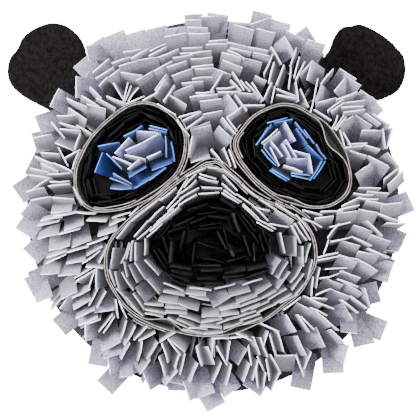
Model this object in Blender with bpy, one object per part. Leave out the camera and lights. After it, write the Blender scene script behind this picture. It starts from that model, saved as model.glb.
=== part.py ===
# Snuffle mat in felt with a furry animal face.
#
# A round felt base carries two flat ears, two eye rims, a muzzle rim and rows of
# fringe.  Every rim and every fringe row is a felt strip folded along its middle,
# sewn down at the fold, with its free part standing up; a fringe row is cut into
# tabs down to a short uncut band.
#
# Units are metres and +Z is up.  The origin is the middle of the base's underside,
# +Y points to the top of the face.  Angles run anticlockwise from +X.

from math import atan2, ceil, cos, degrees, pi, radians, sin
from random import Random

import bpy
import bmesh
from mathutils import Matrix, Vector

# ---- driving sizes -------------------------------------------------------------

GAP = 0.0003                # clearance between neighbouring pieces
BASE_RADIUS = 0.225
BASE_THICKNESS = 0.003
BASE_STEPS = 96

FELT = 0.002                # one layer of fringe felt
FOLD_WIDTH = 0.0032         # a sewn fold, two layers pressed together
UNCUT_HEIGHT = 0.006        # part of a fringe row that is not cut into tabs
TAB_LENGTH = 0.044
TAB_WIDTH = 0.0215
TAB_WIDEST = 0.0245
TAB_GAP = 0.0025            # least space between the roots of two tabs
TAB_ROUNDING = 0.25         # a run takes one more tab if only this share is short
TIP_BEND = 1.2              # a tab's lean at its tip, over its lean at the root
ROW_TURN = 0.003            # uncut length where a strip turns into its next row
MITRE_LIMIT = 0.35          # keeps a band's corner from growing too long
UPRIGHT_BENDS = (1.0,)      # shares of a tab's length at which it bends
LEANING_BENDS = (0.5, 1.0)
SPLAYED_BENDS = (0.35, 0.7, 1.0)

RIM_HEIGHT = 0.046
RIM_LEAF = 0.0018           # one leaf of a rim
RIM_SLIT = 0.0007           # space between the two leaves of a rim
RIM_FOLD_HEIGHT = 0.005
RIM_BELLY_HEIGHT = 0.55     # share of a rim's height at which a parted leaf bends
RIM_BELLY_SHARE = 0.45      # share of the parting at that height
RIM_STEP = 0.0085           # length of one facet round a rim
RIM_CLEARANCE = 0.0070      # from a rim's face to the middle of a fringe row
TIP_CLEARANCE = 0.0035      # from a rim's face to the tip of a leaning tab

EAR_THICKNESS = 0.0022
EAR_ROOT_RADIUS = 0.2080    # the ears start just outside the outermost row
EAR_DROP = (0.2262, 0.2300, 0.2340, 0.2380)
EAR_DROP_SHARE = (0.0, 0.25, 0.75, 1.0)

SPOKE_END = 0.193           # outer end of the rows that run outwards

# How far, in degrees, one tab leans and turns from the next.
RING_UNEVEN = {"lean": 11, "twist": 10}
ROW_UNEVEN = {"lean": 3, "twist": 4}
CLOSED_UNEVEN = {"lean": 1.5, "twist": 3}

CURVE_STEPS = 12            # points on each stretch between two outline corners
EAR_CURVE_STEPS = 4
EAR_ROOT_STEPS = 8
OUTLINE_STEPS = 120         # points round a whole outline
ROW_STEPS = 40              # points for each tab of a closed row
SEARCH_ANGLE = 0.5          # steps in which a row is fitted between the rims
SEARCH_DISTANCE = 0.001
TINY = 1e-9

# The rims' outer faces at the base, anticlockwise.
EYE_LEFT_RIM = (
    (-0.082, 0.122), (-0.117, 0.106), (-0.141, 0.083), (-0.155, 0.060),
    (-0.160, 0.034), (-0.154, 0.009), (-0.137, -0.004), (-0.109, -0.004),
    (-0.079, 0.007), (-0.052, 0.0255), (-0.038, 0.042), (-0.031, 0.070),
    (-0.038, 0.098), (-0.057, 0.115))
EYE_RIGHT_RIM = (
    (0.086, 0.120), (0.056, 0.111), (0.033, 0.092), (0.023, 0.074),
    (0.027, 0.058), (0.040, 0.040), (0.060, 0.020), (0.090, 0.003),
    (0.124, -0.002), (0.146, 0.005), (0.160, 0.024), (0.158, 0.051),
    (0.143, 0.082), (0.118, 0.106))
MUZZLE_RIM = (
    (-0.001, 0.053), (-0.024, 0.042), (-0.045, 0.0275), (-0.063, 0.012),
    (-0.087, -0.005), (-0.109, -0.024), (-0.122, -0.044), (-0.126, -0.071),
    (-0.116, -0.100), (-0.096, -0.123), (-0.062, -0.140), (-0.012, -0.151),
    (0.039, -0.142), (0.084, -0.116), (0.110, -0.087), (0.121, -0.056),
    (0.113, -0.026), (0.090, -0.007), (0.046, 0.017), (0.023, 0.038))
NOSE_EDGE = (
    (-0.004, 0.012), (-0.036, 0.001), (-0.063, -0.021), (-0.079, -0.045),
    (-0.065, -0.079), (-0.036, -0.094), (0.000, -0.096), (0.036, -0.088),
    (0.070, -0.075), (0.083, -0.052), (0.071, -0.027), (0.041, -0.010))
MUZZLE_MIDDLE = (0.0, -0.048)

# Where the two leaves of a rim part: the direction seen from the rim's middle,
# half the angle that the parting takes, and its width at the top edge.
EYE_RIGHT_PARTINGS = (
    {"direction": 25, "half_angle": 38, "width": 0.0110},
    {"direction": 262, "half_angle": 24, "width": 0.0030})
EYE_LEFT_PARTINGS = (
    {"direction": 300, "half_angle": 30, "width": 0.0020},)
MUZZLE_PARTINGS = (
    {"direction": 242, "half_angle": 16, "width": 0.0100},
    {"direction": 290, "half_angle": 16, "width": 0.0045})

# The ears' outlines, anticlockwise, from one hidden root corner to the other.
EAR_LEFT = (
    (-0.1385, 0.1580), (-0.1445, 0.1700), (-0.1527, 0.1844), (-0.1632, 0.2047),
    (-0.1761, 0.2159), (-0.1939, 0.2203), (-0.2149, 0.2135), (-0.2302, 0.1981),
    (-0.2343, 0.1868), (-0.2440, 0.1780), (-0.2472, 0.1634), (-0.2431, 0.1489),
    (-0.2294, 0.1335), (-0.1979, 0.1158), (-0.1820, 0.1050))
EAR_RIGHT = (
    (0.1710, 0.1220), (0.1833, 0.1236), (0.1983, 0.1287), (0.2177, 0.1360),
    (0.2282, 0.1489), (0.2314, 0.1634), (0.2297, 0.1763), (0.2225, 0.1868),
    (0.2063, 0.2022), (0.1886, 0.2152), (0.1757, 0.2184), (0.1579, 0.2148),
    (0.1458, 0.2006), (0.1405, 0.1868), (0.1337, 0.1796), (0.1290, 0.1660))

# Outermost row: for each stretch its first direction, its distance from the
# middle, and the lean from upright at a tab's root and at its tip.
RING = (
    {"start": 70, "radius": 0.2010, "root_lean": 20, "tip_lean": 40},
    {"start": 114, "radius": 0.2030, "root_lean": 56, "tip_lean": 82},
    {"start": 159, "radius": 0.2010, "root_lean": 44, "tip_lean": 78},
    {"start": 204, "radius": 0.2060, "root_lean": 54, "tip_lean": 84},
    {"start": 249, "radius": 0.2040, "root_lean": 46, "tip_lean": 80},
    {"start": 294, "radius": 0.2090, "root_lean": 56, "tip_lean": 84},
    {"start": 339, "radius": 0.2030, "root_lean": 40, "tip_lean": 68},
    {"start": 24, "radius": 0.2010, "root_lean": 36, "tip_lean": 64})
RING_SECTOR = 45
RING_TABS = 6

# Forehead rows: arcs about the middle of the base, leaning outwards.
FOREHEAD = (
    {"radius": 0.184, "first": 62, "last": 122, "lean": 24},
    {"radius": 0.166, "first": 62, "last": 122, "lean": 25},
    {"radius": 0.148, "first": 62, "last": 122, "lean": 24},
    {"radius": 0.130, "first": 62, "last": 122, "lean": 24},
    {"radius": 0.113, "first": 64, "last": 120, "lean": 22},
    {"radius": 0.096, "first": 64, "last": 120, "lean": 22},
    {"radius": 0.079, "first": 64, "last": 120, "lean": 18},
    {"radius": 0.063, "first": 64, "last": 120, "lean": 14})
FOREHEAD_MIDDLE = 92

# Rows that run outwards: sectors of the face, with the number of rows, the
# direction of the first and the last row, and the way and amount they lean.
SPOKES = (
    {"first": 127, "last": 146, "rows": 5, "lean": 16},
    {"first": 151, "last": 171, "rows": 6, "lean": 22},
    {"first": 175, "last": 196, "rows": 6, "lean": 26},
    {"first": 200, "last": 221, "rows": 6, "lean": 24},
    {"first": 226, "last": 245, "rows": 5, "lean": 14},
    {"first": 250, "last": 269, "rows": 5, "lean": 9},
    {"first": 275, "last": 294, "rows": 5, "lean": 12},
    {"first": 299, "last": 319, "rows": 6, "lean": 20},
    {"first": 323, "last": 344, "rows": 6, "lean": 26},
    {"first": 348, "last": 369, "rows": 6, "lean": 24},
    {"first": 373, "last": 394, "rows": 6, "lean": 20},
    {"first": 399, "last": 417, "rows": 5, "lean": 14})

# Closed rows inside the rims.  share places a row between the rim and the nose's
# edge; inset is its distance inside an outline; parts is how many strips it takes.
MUZZLE_ROWS = (
    {"name": "fringe_muzzle_outer", "share": 0.30, "parts": 4, "lean": -2},
    {"name": "fringe_muzzle_inner", "share": 0.76, "parts": 4, "lean": -2})
NOSE_ROWS = (
    {"name": "fringe_nose_outer", "inset": 0.010, "parts": 3, "lean": 2},
    {"name": "fringe_nose_inner", "inset": 0.029, "parts": 2, "lean": -2})
NOSE_MIDDLE_ROW = {"start": (-0.041, -0.046), "end": (0.037, -0.049), "lean": 6}
EYE_WELL_INSET = 0.0095
EYE_WELL_PARTS = 3
EYE_WELL_LEAN = 0
IRISES = (
    {"side": "left", "middle": (-0.096, 0.058), "half_length": 0.030, "half_width": 0.021,
     "turn": 34, "rim": EYE_LEFT_RIM, "partings": EYE_LEFT_PARTINGS},
    {"side": "right", "middle": (0.088, 0.064), "half_length": 0.029, "half_width": 0.021,
     "turn": -34, "rim": EYE_RIGHT_RIM, "partings": EYE_RIGHT_PARTINGS})
IRIS_LEAN = 13
PUPIL_ROW_SPACING = 0.011
PUPIL_ROW_LENGTH = 0.040
PUPIL_PITCH = 0.018
PUPIL_LEAN = 10

# Felt colours, linear RGB.
CHARCOAL = (0.043, 0.041, 0.041)
EAR_BLACK = (0.016, 0.015, 0.015)
TAUPE = (0.42, 0.36, 0.34)
SILVER_GREY = (0.50, 0.49, 0.54)
WELL_BLACK = (0.010, 0.010, 0.012)
BLUE = (0.09, 0.16, 0.36)
LILAC = (0.47, 0.48, 0.66)


# ---- plain helpers ---------------------------------------------------------------

def clear_scene():
    for item in list(bpy.data.objects):
        bpy.data.objects.remove(item, do_unlink=True)


def felt(name, colour):
    material = bpy.data.materials.new(name)
    material.use_nodes = True
    shader = material.node_tree.nodes["Principled BSDF"]
    shader.inputs["Base Color"].default_value = (*colour, 1.0)
    shader.inputs["Roughness"].default_value = 0.95
    shader.inputs["Metallic"].default_value = 0.0
    material.diffuse_color = (*colour, 1.0)
    return material


def add_object(name, shape, material):
    """Turn a finished bmesh into a named object with one material."""
    bmesh.ops.recalc_face_normals(shape, faces=shape.faces)
    mesh = bpy.data.meshes.new(name)
    shape.to_mesh(mesh)
    shape.free()
    mesh.materials.append(material)
    item = bpy.data.objects.new(name, mesh)
    bpy.context.scene.collection.objects.link(item)
    return item


def polar(radius, angle):
    return Vector((radius * cos(radians(angle)), radius * sin(radians(angle))))


def smooth_point(before, start, end, after, share):
    """Point on a smooth curve through four corners, between start and end."""
    return 0.5 * (2 * start + (end - before) * share
                  + (2 * before - 5 * start + 4 * end - after) * share ** 2
                  + (3 * start - before - 3 * end + after) * share ** 3)


def closed_curve(corners, steps):
    """Smooth closed line through the corners, as evenly spaced points."""
    points = []
    count = len(corners)
    for index in range(count):
        four = [Vector(corners[(index + shift) % count]) for shift in (-1, 0, 1, 2)]
        for part in range(CURVE_STEPS):
            points.append(smooth_point(*four, part / CURVE_STEPS))
    return resample(points, steps)


def resample(points, steps):
    """Evenly spaced points round a closed line."""
    lengths = [0.0]
    for index, point in enumerate(points):
        following = points[(index + 1) % len(points)]
        lengths.append(lengths[-1] + (following - point).length)
    result = []
    index = 0
    for step in range(steps):
        target = lengths[-1] * step / steps
        while lengths[index + 1] < target:
            index += 1
        share = (target - lengths[index]) / (lengths[index + 1] - lengths[index])
        result.append(points[index].lerp(points[(index + 1) % len(points)], share))
    return result


def line_length(points):
    return sum((point - points[index - 1]).length for index, point in enumerate(points))


def inward_normals(points):
    """Unit normals of an anticlockwise closed line, pointing inside."""
    normals = []
    for index in range(len(points)):
        along = (points[(index + 1) % len(points)] - points[index - 1]).normalized()
        normals.append(Vector((-along.y, along.x)))
    return normals


def middle_of(points):
    total = Vector((0.0, 0.0))
    for point in points:
        total += point
    return total / len(points)


def inset_line(points, distance):
    normals = inward_normals(points)
    return [point + normal * distance for point, normal in zip(points, normals)]


def distance_to_line(point, line):
    best = None
    for index, start in enumerate(line):
        span = line[(index + 1) % len(line)] - start
        share = max(0.0, min(1.0, (point - start).dot(span) / span.length_squared))
        gap = (point - start - span * share).length
        best = gap if best is None else min(best, gap)
    return best


def is_inside(point, line):
    inside = False
    for index, start in enumerate(line):
        end = line[(index + 1) % len(line)]
        if (start.y > point.y) != (end.y > point.y):
            cross = start.x + (point.y - start.y) / (end.y - start.y) * (end.x - start.x)
            if point.x < cross:
                inside = not inside
    return inside


def is_free(point, rims, clearance):
    """True where a fringe row may stand outside every rim."""
    return all(not is_inside(point, rim) and distance_to_line(point, rim) > clearance for rim in rims)


# ---- fringe ---------------------------------------------------------------------

def tab_shape(lean, tip_lean, twist, bends):
    return {"lean": lean, "tip_lean": tip_lean, "twist": twist, "bends": bends}


def uneven_by(limits, dice):
    return dice.uniform(-limits["lean"], limits["lean"]), dice.uniform(-limits["twist"], limits["twist"])


def build_comb(name, points, tabs, material):
    """One cut strip: a sewn band along the points, and a tab on each edge that
    tabs names.  A tab's lean is in degrees from upright, to the left of the way
    the points run; its twist turns it about the upright."""
    shape = bmesh.new()
    low = BASE_THICKNESS + GAP
    high = low + UNCUT_HEIGHT
    rings = []
    face = None
    for index, point in enumerate(points):
        side = band_side(points, index)
        corners = [(point - side, low), (point + side, low), (point + side, high), (point - side, high)]
        places = [Vector((flat.x, flat.y, height)) for flat, height in corners]
        if face is None:
            ring = [shape.verts.new(place) for place in places]
            face = shape.faces.new(ring)
        else:
            face, ring = extrude_to(shape, face, rings[-1], places, keep_start=len(rings) == 1)
        rings.append(ring)
    for edge, tab in tabs.items():
        start, end = rings[edge], rings[edge + 1]
        crest = [start[3], end[3], end[2], start[2]]
        raise_tab(shape, crest, points[edge], points[edge + 1], high, tab)
    return add_object(name, shape, material)


def band_side(points, index):
    """Half the band's width, square to its run and mitred at a corner."""
    before = points[max(index - 1, 0)]
    after = points[min(index + 1, len(points) - 1)]
    here = points[index]
    into = (here - before).normalized() if index > 0 else (after - here).normalized()
    out = (after - here).normalized() if index < len(points) - 1 else into
    bisector = (into + out).normalized()
    side = Vector((-bisector.y, bisector.x))
    return side * (FOLD_WIDTH / 2 / max(bisector.dot(out), MITRE_LIMIT))


def extrude_to(shape, face, ring, places, keep_start=False):
    """Extrude a four-sided face and put its corners at the given places."""
    result = bmesh.ops.extrude_face_region(shape, geom=[face])
    if not keep_start:
        bmesh.ops.delete(shape, geom=[face], context="FACES_ONLY")
    moved = [item for item in result["geom"] if isinstance(item, bmesh.types.BMVert)]
    new_ring = []
    for corner in ring:
        twin = min(moved, key=lambda vert: (vert.co - corner.co).length_squared)
        moved.remove(twin)
        new_ring.append(twin)
    for corner, place in zip(new_ring, places):
        corner.co = place
    return shape.faces.get(new_ring), new_ring


def raise_tab(shape, ring, start, end, root_height, tab):
    """Raise one tab from the band's crest in a few bends."""
    along = (end - start).normalized()
    half_width = (end - start).length / 2
    centre = (start + end) / 2
    height = root_height
    previous = 0.0
    face = shape.faces.get(ring)
    for share in tab["bends"]:
        lean = radians(tab["lean"] + (tab["tip_lean"] - tab["lean"]) * share)
        turn = radians(tab["twist"]) * share
        width_way = along.copy()
        width_way.rotate(Matrix.Rotation(turn, 2))
        lean_way = Vector((-width_way.y, width_way.x))
        step = TAB_LENGTH * (share - previous)
        centre = centre + lean_way * (step * sin(lean))
        height += step * cos(lean)
        previous = share
        thick_flat = lean_way * (cos(lean) * FELT / 2)
        thick_up = -sin(lean) * FELT / 2
        spread = width_way * half_width
        right = (centre - thick_flat, height - thick_up)
        left = (centre + thick_flat, height + thick_up)
        places = []
        for (flat, level), across in ((right, -spread), (right, spread), (left, spread), (left, -spread)):
            places.append(Vector((flat.x + across.x, flat.y + across.y, level)))
        face, ring = extrude_to(shape, face, ring, places)


def even_tabs(start, end, least_pitch=TAB_WIDTH + TAB_GAP):
    """Root edges of the tabs that fit on a straight run."""
    run = end - start
    count = max(1, int((run.length + TAB_GAP) / least_pitch + TAB_ROUNDING))
    pitch = (run.length + TAB_GAP) / count
    width = min(pitch - TAB_GAP, TAB_WIDEST)
    along = run.normalized()
    roots = [start + along * (pitch * index) for index in range(count)]
    return [(root, root + along * width) for root in roots]


def arc_tabs(radius, first, last):
    """Root edges of the tabs that fit on an arc about the origin."""
    length = radius * radians(abs(last - first))
    count = max(1, int((length + TAB_GAP) / (TAB_WIDTH + TAB_GAP)))
    pitch = (last - first) / count
    half = degrees(TAB_WIDTH / radius) / 2 * (1 if last > first else -1)
    edges = []
    for index in range(count):
        middle = first + pitch * (index + 0.5)
        edges.append((polar(radius, middle - half), polar(radius, middle + half)))
    return edges


def free_arc(radius, first, last, rims):
    """The part of an arc, either side of the forehead's middle, clear of the rims."""
    limits = []
    for end in (first, last):
        angle = FOREHEAD_MIDDLE
        step = SEARCH_ANGLE if end > angle else -SEARCH_ANGLE
        while (end - angle) * step > 0 and is_free(polar(radius, angle + step), rims, RIM_CLEARANCE):
            angle += step
        limits.append(angle)
    return limits


def spoke_start(angle, lean, rims):
    """How far out a row in this direction is clear of the rims, root and tip."""
    aside = polar(TAB_LENGTH * sin(radians(lean * TIP_BEND)), angle + 90)
    radius = SPOKE_END
    while True:
        root = polar(radius - SEARCH_DISTANCE, angle)
        if not is_free(root, rims, RIM_CLEARANCE) or not is_free(root + aside, rims, TIP_CLEARANCE):
            return radius
        radius -= SEARCH_DISTANCE


# ---- pieces ---------------------------------------------------------------------

def build_base(material):
    shape = bmesh.new()
    bmesh.ops.create_cone(shape, cap_ends=True, segments=BASE_STEPS, radius1=BASE_RADIUS,
                          radius2=BASE_RADIUS, depth=BASE_THICKNESS)
    bmesh.ops.translate(shape, verts=shape.verts, vec=(0, 0, BASE_THICKNESS / 2))
    return add_object("base", shape, material)


def ear_outline(corners):
    """The ear's edge: an open smooth run, closed by an arc along the base."""
    count = len(corners)
    points = [Vector(corners[0])]
    for index in range(count - 1):
        four = [Vector(corners[min(max(index + shift, 0), count - 1)]) for shift in (-1, 0, 1, 2)]
        for part in range(1, EAR_CURVE_STEPS + 1):
            points.append(smooth_point(*four, part / EAR_CURVE_STEPS))
    first = degrees(atan2(points[-1].y, points[-1].x))
    last = degrees(atan2(points[0].y, points[0].x))
    for step in range(EAR_ROOT_STEPS + 1):
        points.append(polar(EAR_ROOT_RADIUS, first + (last - first) * step / EAR_ROOT_STEPS))
    return points


def build_ear(name, corners, material):
    """A flat ear that lies on the base's edge and comes down to the floor."""
    outline = ear_outline(corners)
    away = middle_of(outline).normalized()
    shape = bmesh.new()
    face = shape.faces.new([shape.verts.new((point.x, point.y, 0.0)) for point in outline])
    for distance in EAR_DROP:
        bmesh.ops.bisect_plane(shape, geom=shape.verts[:] + shape.edges[:] + shape.faces[:],
                               dist=TINY, plane_co=(away.x * distance, away.y * distance, 0.0),
                               plane_no=(away.x, away.y, 0.0))
    for vert in shape.verts:
        reach = Vector((vert.co.x, vert.co.y)).dot(away)
        vert.co.z = (BASE_THICKNESS + GAP) * (1.0 - drop_share(reach))
    result = bmesh.ops.extrude_face_region(shape, geom=shape.faces[:])
    raised = [item for item in result["geom"] if isinstance(item, bmesh.types.BMVert)]
    bmesh.ops.translate(shape, verts=raised, vec=(0, 0, EAR_THICKNESS))
    return add_object(name, shape, material)


def drop_share(reach):
    """How far the ear has come down at this distance from the middle, 0 to 1."""
    if reach <= EAR_DROP[0]:
        return 0.0
    for index in range(1, len(EAR_DROP)):
        if reach <= EAR_DROP[index]:
            part = (reach - EAR_DROP[index - 1]) / (EAR_DROP[index] - EAR_DROP[index - 1])
            return EAR_DROP_SHARE[index - 1] + part * (EAR_DROP_SHARE[index] - EAR_DROP_SHARE[index - 1])
    return 1.0


def parting_width(direction, partings):
    width = RIM_SLIT
    for parting in partings:
        away = abs((direction - parting["direction"] + 180) % 360 - 180)
        if away < parting["half_angle"]:
            width += parting["width"] * (0.5 + 0.5 * cos(pi * away / parting["half_angle"]))
    return width


def build_rim(name, corners, partings, material):
    """A standing strip folded at its foot: two leaves that part at the top."""
    outer = closed_curve(corners, OUTLINE_STEPS)
    outer = resample(outer, int(line_length(outer) / RIM_STEP))
    normals = inward_normals(outer)
    middle = middle_of(outer)
    low = BASE_THICKNESS + GAP
    crotch = low + RIM_FOLD_HEIGHT
    belly = low + RIM_HEIGHT * RIM_BELLY_HEIGHT
    high = low + RIM_HEIGHT
    foot = 2 * RIM_LEAF + RIM_SLIT
    shape = bmesh.new()
    rings = []
    for point, normal in zip(outer, normals):
        away = point - middle
        gap = parting_width(degrees(atan2(away.y, away.x)), partings)
        bent = RIM_LEAF + gap * RIM_BELLY_SHARE
        open_top = RIM_LEAF + gap
        section = (
            (0.0, low), (foot, low), (bent + RIM_LEAF, belly), (open_top + RIM_LEAF, high),
            (open_top, high), (bent, belly), (RIM_LEAF + RIM_SLIT, crotch),
            (RIM_LEAF, crotch), (RIM_LEAF, high), (0.0, high))
        ring = []
        for inset, level in section:
            place = point + normal * inset
            ring.append(shape.verts.new((place.x, place.y, level)))
        rings.append(ring)
    for index, ring in enumerate(rings):
        following = rings[(index + 1) % len(rings)]
        for corner in range(len(ring)):
            after = (corner + 1) % len(ring)
            shape.faces.new((ring[corner], ring[after], following[after], following[corner]))
    return add_object(name, shape, material)


def build_ring(material, dice):
    pitch = RING_SECTOR / RING_TABS
    for number, sector in enumerate(RING, start=1):
        points = []
        tabs = {}
        half = degrees(TAB_WIDTH / sector["radius"]) / 2
        for index in range(RING_TABS):
            middle = sector["start"] + pitch * (index + 0.5)
            uneven, twist = uneven_by(RING_UNEVEN, dice)
            tabs[len(points)] = tab_shape(-sector["root_lean"] - uneven, -sector["tip_lean"] - uneven,
                                          twist, SPLAYED_BENDS)
            points += [polar(sector["radius"], middle - half), polar(sector["radius"], middle + half)]
        build_comb("fringe_edge_%d" % number, points, tabs, material)


def build_forehead(material, rims, dice):
    for number, row in enumerate(FOREHEAD, start=1):
        points = []
        tabs = {}
        first, last = free_arc(row["radius"], row["first"], row["last"], rims)
        for edge in arc_tabs(row["radius"], first, last):
            uneven, twist = uneven_by(ROW_UNEVEN, dice)
            lean = -row["lean"] + uneven
            tabs[len(points)] = tab_shape(lean, lean * TIP_BEND, twist, LEANING_BENDS)
            points += edge
        build_comb("fringe_forehead_%d" % number, points, tabs, material)


def build_spokes(material, rims, dice):
    for number, sector in enumerate(SPOKES, start=1):
        rows = sector["rows"]
        pitch = (sector["last"] - sector["first"]) / (rows - 1)
        angles = [sector["first"] + pitch * row for row in range(rows)]
        starts = [spoke_start(angle, sector["lean"], rims) for angle in angles]
        for row in range(1, rows - 1, 2):
            starts[row] = starts[row + 1] = max(starts[row], starts[row + 1])
        points = []
        tabs = {}
        for row, angle in enumerate(angles):
            near, far = polar(starts[row], angle), polar(SPOKE_END, angle)
            outwards = row % 2 == 0
            ends = (near, far) if outwards else (far, near)
            if row > 0:
                points.append(ends[0])
            inset = (ends[1] - ends[0]).normalized() * ROW_TURN
            first = ends[0] + inset if row > 0 else ends[0]
            last = ends[1] - inset if row < rows - 1 else ends[1]
            for edge in even_tabs(first, last):
                uneven, twist = uneven_by(ROW_UNEVEN, dice)
                lean = (sector["lean"] + uneven) * (1 if outwards else -1)
                tabs[len(points)] = tab_shape(lean, lean * TIP_BEND, twist, LEANING_BENDS)
                points += edge
            if row < rows - 1:
                points.append(ends[1])
        build_comb("fringe_cheek_%d" % number, points, tabs, material)


def build_closed_row(name, line, parts, lean, material, dice, bends=UPRIGHT_BENDS):
    """Tabs all round a closed line, shared out over a few strips."""
    length = line_length(line)
    count = int(length / (TAB_WIDTH + TAB_GAP))
    fine = resample(line, count * ROW_STEPS)
    half = int(round(ROW_STEPS * TAB_WIDTH / (length / count) / 2))
    edges = []
    for index in range(count):
        middle = index * ROW_STEPS + ROW_STEPS // 2
        edges.append((fine[middle - half], fine[(middle + half) % len(fine)]))
    per_part = ceil(count / parts)
    for part in range(parts):
        points = []
        tabs = {}
        for edge in edges[part * per_part:(part + 1) * per_part]:
            uneven, twist = uneven_by(CLOSED_UNEVEN, dice)
            tilt = lean + uneven
            tabs[len(points)] = tab_shape(tilt, tilt * TIP_BEND, twist, bends)
            points += edge
        build_comb("%s_%d" % (name, part + 1), points, tabs, material)


def build_muzzle_rows(material, rim, nose, dice):
    middle = Vector(MUZZLE_MIDDLE)
    for row in MUZZLE_ROWS:
        line = between_lines(rim, nose, middle, row["share"])
        line = clear_of_partings(line, rim, MUZZLE_PARTINGS)
        build_closed_row(row["name"], line, row["parts"], row["lean"], material, dice)


def clear_of_partings(line, rim, partings):
    """Move a row inwards where the rim's inner leaf stands off the outer one."""
    centre = middle_of(rim)
    moved = []
    for point, normal in zip(line, inward_normals(line)):
        away = point - centre
        need = RIM_CLEARANCE + parting_width(degrees(atan2(away.y, away.x)), partings)
        moved.append(point + normal * max(0.0, need - distance_to_line(point, rim) + RIM_LEAF))
    return moved


def between_lines(outer, inner, middle, share):
    """A closed line a share of the way from the outer line to the inner one."""
    line = []
    for step in range(OUTLINE_STEPS):
        way = polar(1.0, 360 * step / OUTLINE_STEPS)
        far, near = (reach(edge, middle, way) for edge in (outer, inner))
        line.append(middle + way * (far + (near - far) * share))
    return line


def reach(line, middle, way):
    """Distance from a point inside a closed line to the line, along a direction."""
    best = 0.0
    for index, start in enumerate(line):
        span = line[(index + 1) % len(line)] - start
        cross = way.x * span.y - way.y * span.x
        if abs(cross) < TINY:
            continue
        offset = start - middle
        distance = (offset.x * span.y - offset.y * span.x) / cross
        share = (offset.x * way.y - offset.y * way.x) / cross
        if distance > 0 and -TINY <= share <= 1 + TINY:
            best = max(best, distance)
    return best


def build_nose(material, nose, dice):
    for row in NOSE_ROWS:
        line = inset_line(nose, row["inset"])
        build_closed_row(row["name"], line, row["parts"], row["lean"], material, dice)


def build_nose_middle(material, dice):
    points = []
    tabs = {}
    for edge in even_tabs(Vector(NOSE_MIDDLE_ROW["start"]), Vector(NOSE_MIDDLE_ROW["end"])):
        uneven, twist = uneven_by(CLOSED_UNEVEN, dice)
        lean = NOSE_MIDDLE_ROW["lean"] + uneven
        tabs[len(points)] = tab_shape(lean, lean, twist, UPRIGHT_BENDS)
        points += edge
    build_comb("fringe_nose_middle", points, tabs, material)


def ellipse(middle, half_length, half_width, turn):
    line = []
    for step in range(OUTLINE_STEPS):
        angle = 2 * pi * step / OUTLINE_STEPS
        spot = Vector((half_length * cos(angle), half_width * sin(angle)))
        spot.rotate(Matrix.Rotation(radians(turn), 2))
        line.append(Vector(middle) + spot)
    return line


def build_eye(iris, black, blue, lilac, dice):
    side = iris["side"]
    rim = closed_curve(iris["rim"], OUTLINE_STEPS)
    well = clear_of_partings(inset_line(rim, EYE_WELL_INSET), rim, iris["partings"])
    build_closed_row("fringe_eye_%s" % side, well, EYE_WELL_PARTS, EYE_WELL_LEAN, black, dice)
    ring = ellipse(iris["middle"], iris["half_length"], iris["half_width"], iris["turn"])
    build_closed_row("fringe_iris_%s" % side, ring, 2, -IRIS_LEAN, blue, dice, LEANING_BENDS)
    build_pupil("fringe_pupil_%s" % side, iris, lilac)


def build_pupil(name, iris, material):
    """Two short rows, one strip, that lean away from each other."""
    along = polar(PUPIL_ROW_LENGTH / 2, iris["turn"])
    across = polar(PUPIL_ROW_SPACING / 2, iris["turn"] + 90)
    middle = Vector(iris["middle"])
    turn = along.normalized() * FOLD_WIDTH
    near_row = even_tabs(middle - across - along, middle - across + along - turn, PUPIL_PITCH)
    far_row = even_tabs(middle + across + along - turn, middle + across - along, PUPIL_PITCH)
    points = []
    tabs = {}
    for edge in near_row + far_row:
        if edge == far_row[0]:
            points += [middle - across + along, middle + across + along]
        tabs[len(points)] = tab_shape(-PUPIL_LEAN, -PUPIL_LEAN, 0, UPRIGHT_BENDS)
        points += edge
    build_comb(name, points, tabs, material)


def build_mat():
    clear_scene()
    dice = Random(7)
    silver = felt("silver_grey_felt", SILVER_GREY)
    taupe = felt("taupe_felt", TAUPE)
    black = felt("black_felt", WELL_BLACK)
    build_base(felt("charcoal_felt", CHARCOAL))
    ear_black = felt("ear_felt", EAR_BLACK)
    build_ear("ear_left", EAR_LEFT, ear_black)
    build_ear("ear_right", EAR_RIGHT, ear_black)
    build_rim("eye_rim_left", EYE_LEFT_RIM, EYE_LEFT_PARTINGS, taupe)
    build_rim("eye_rim_right", EYE_RIGHT_RIM, EYE_RIGHT_PARTINGS, taupe)
    build_rim("muzzle_rim", MUZZLE_RIM, MUZZLE_PARTINGS, taupe)
    rims = [closed_curve(rim, OUTLINE_STEPS) for rim in (EYE_LEFT_RIM, EYE_RIGHT_RIM, MUZZLE_RIM)]
    nose = closed_curve(NOSE_EDGE, OUTLINE_STEPS)
    build_ring(silver, dice)
    build_forehead(silver, rims, dice)
    build_spokes(silver, rims, dice)
    build_muzzle_rows(silver, rims[2], nose, dice)
    build_nose(black, nose, dice)
    blue = felt("blue_felt", BLUE)
    lilac = felt("lilac_felt", LILAC)
    for iris in IRISES:
        build_eye(iris, black, blue, lilac, dice)
    build_nose_middle(black, dice)


build_mat()
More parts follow.
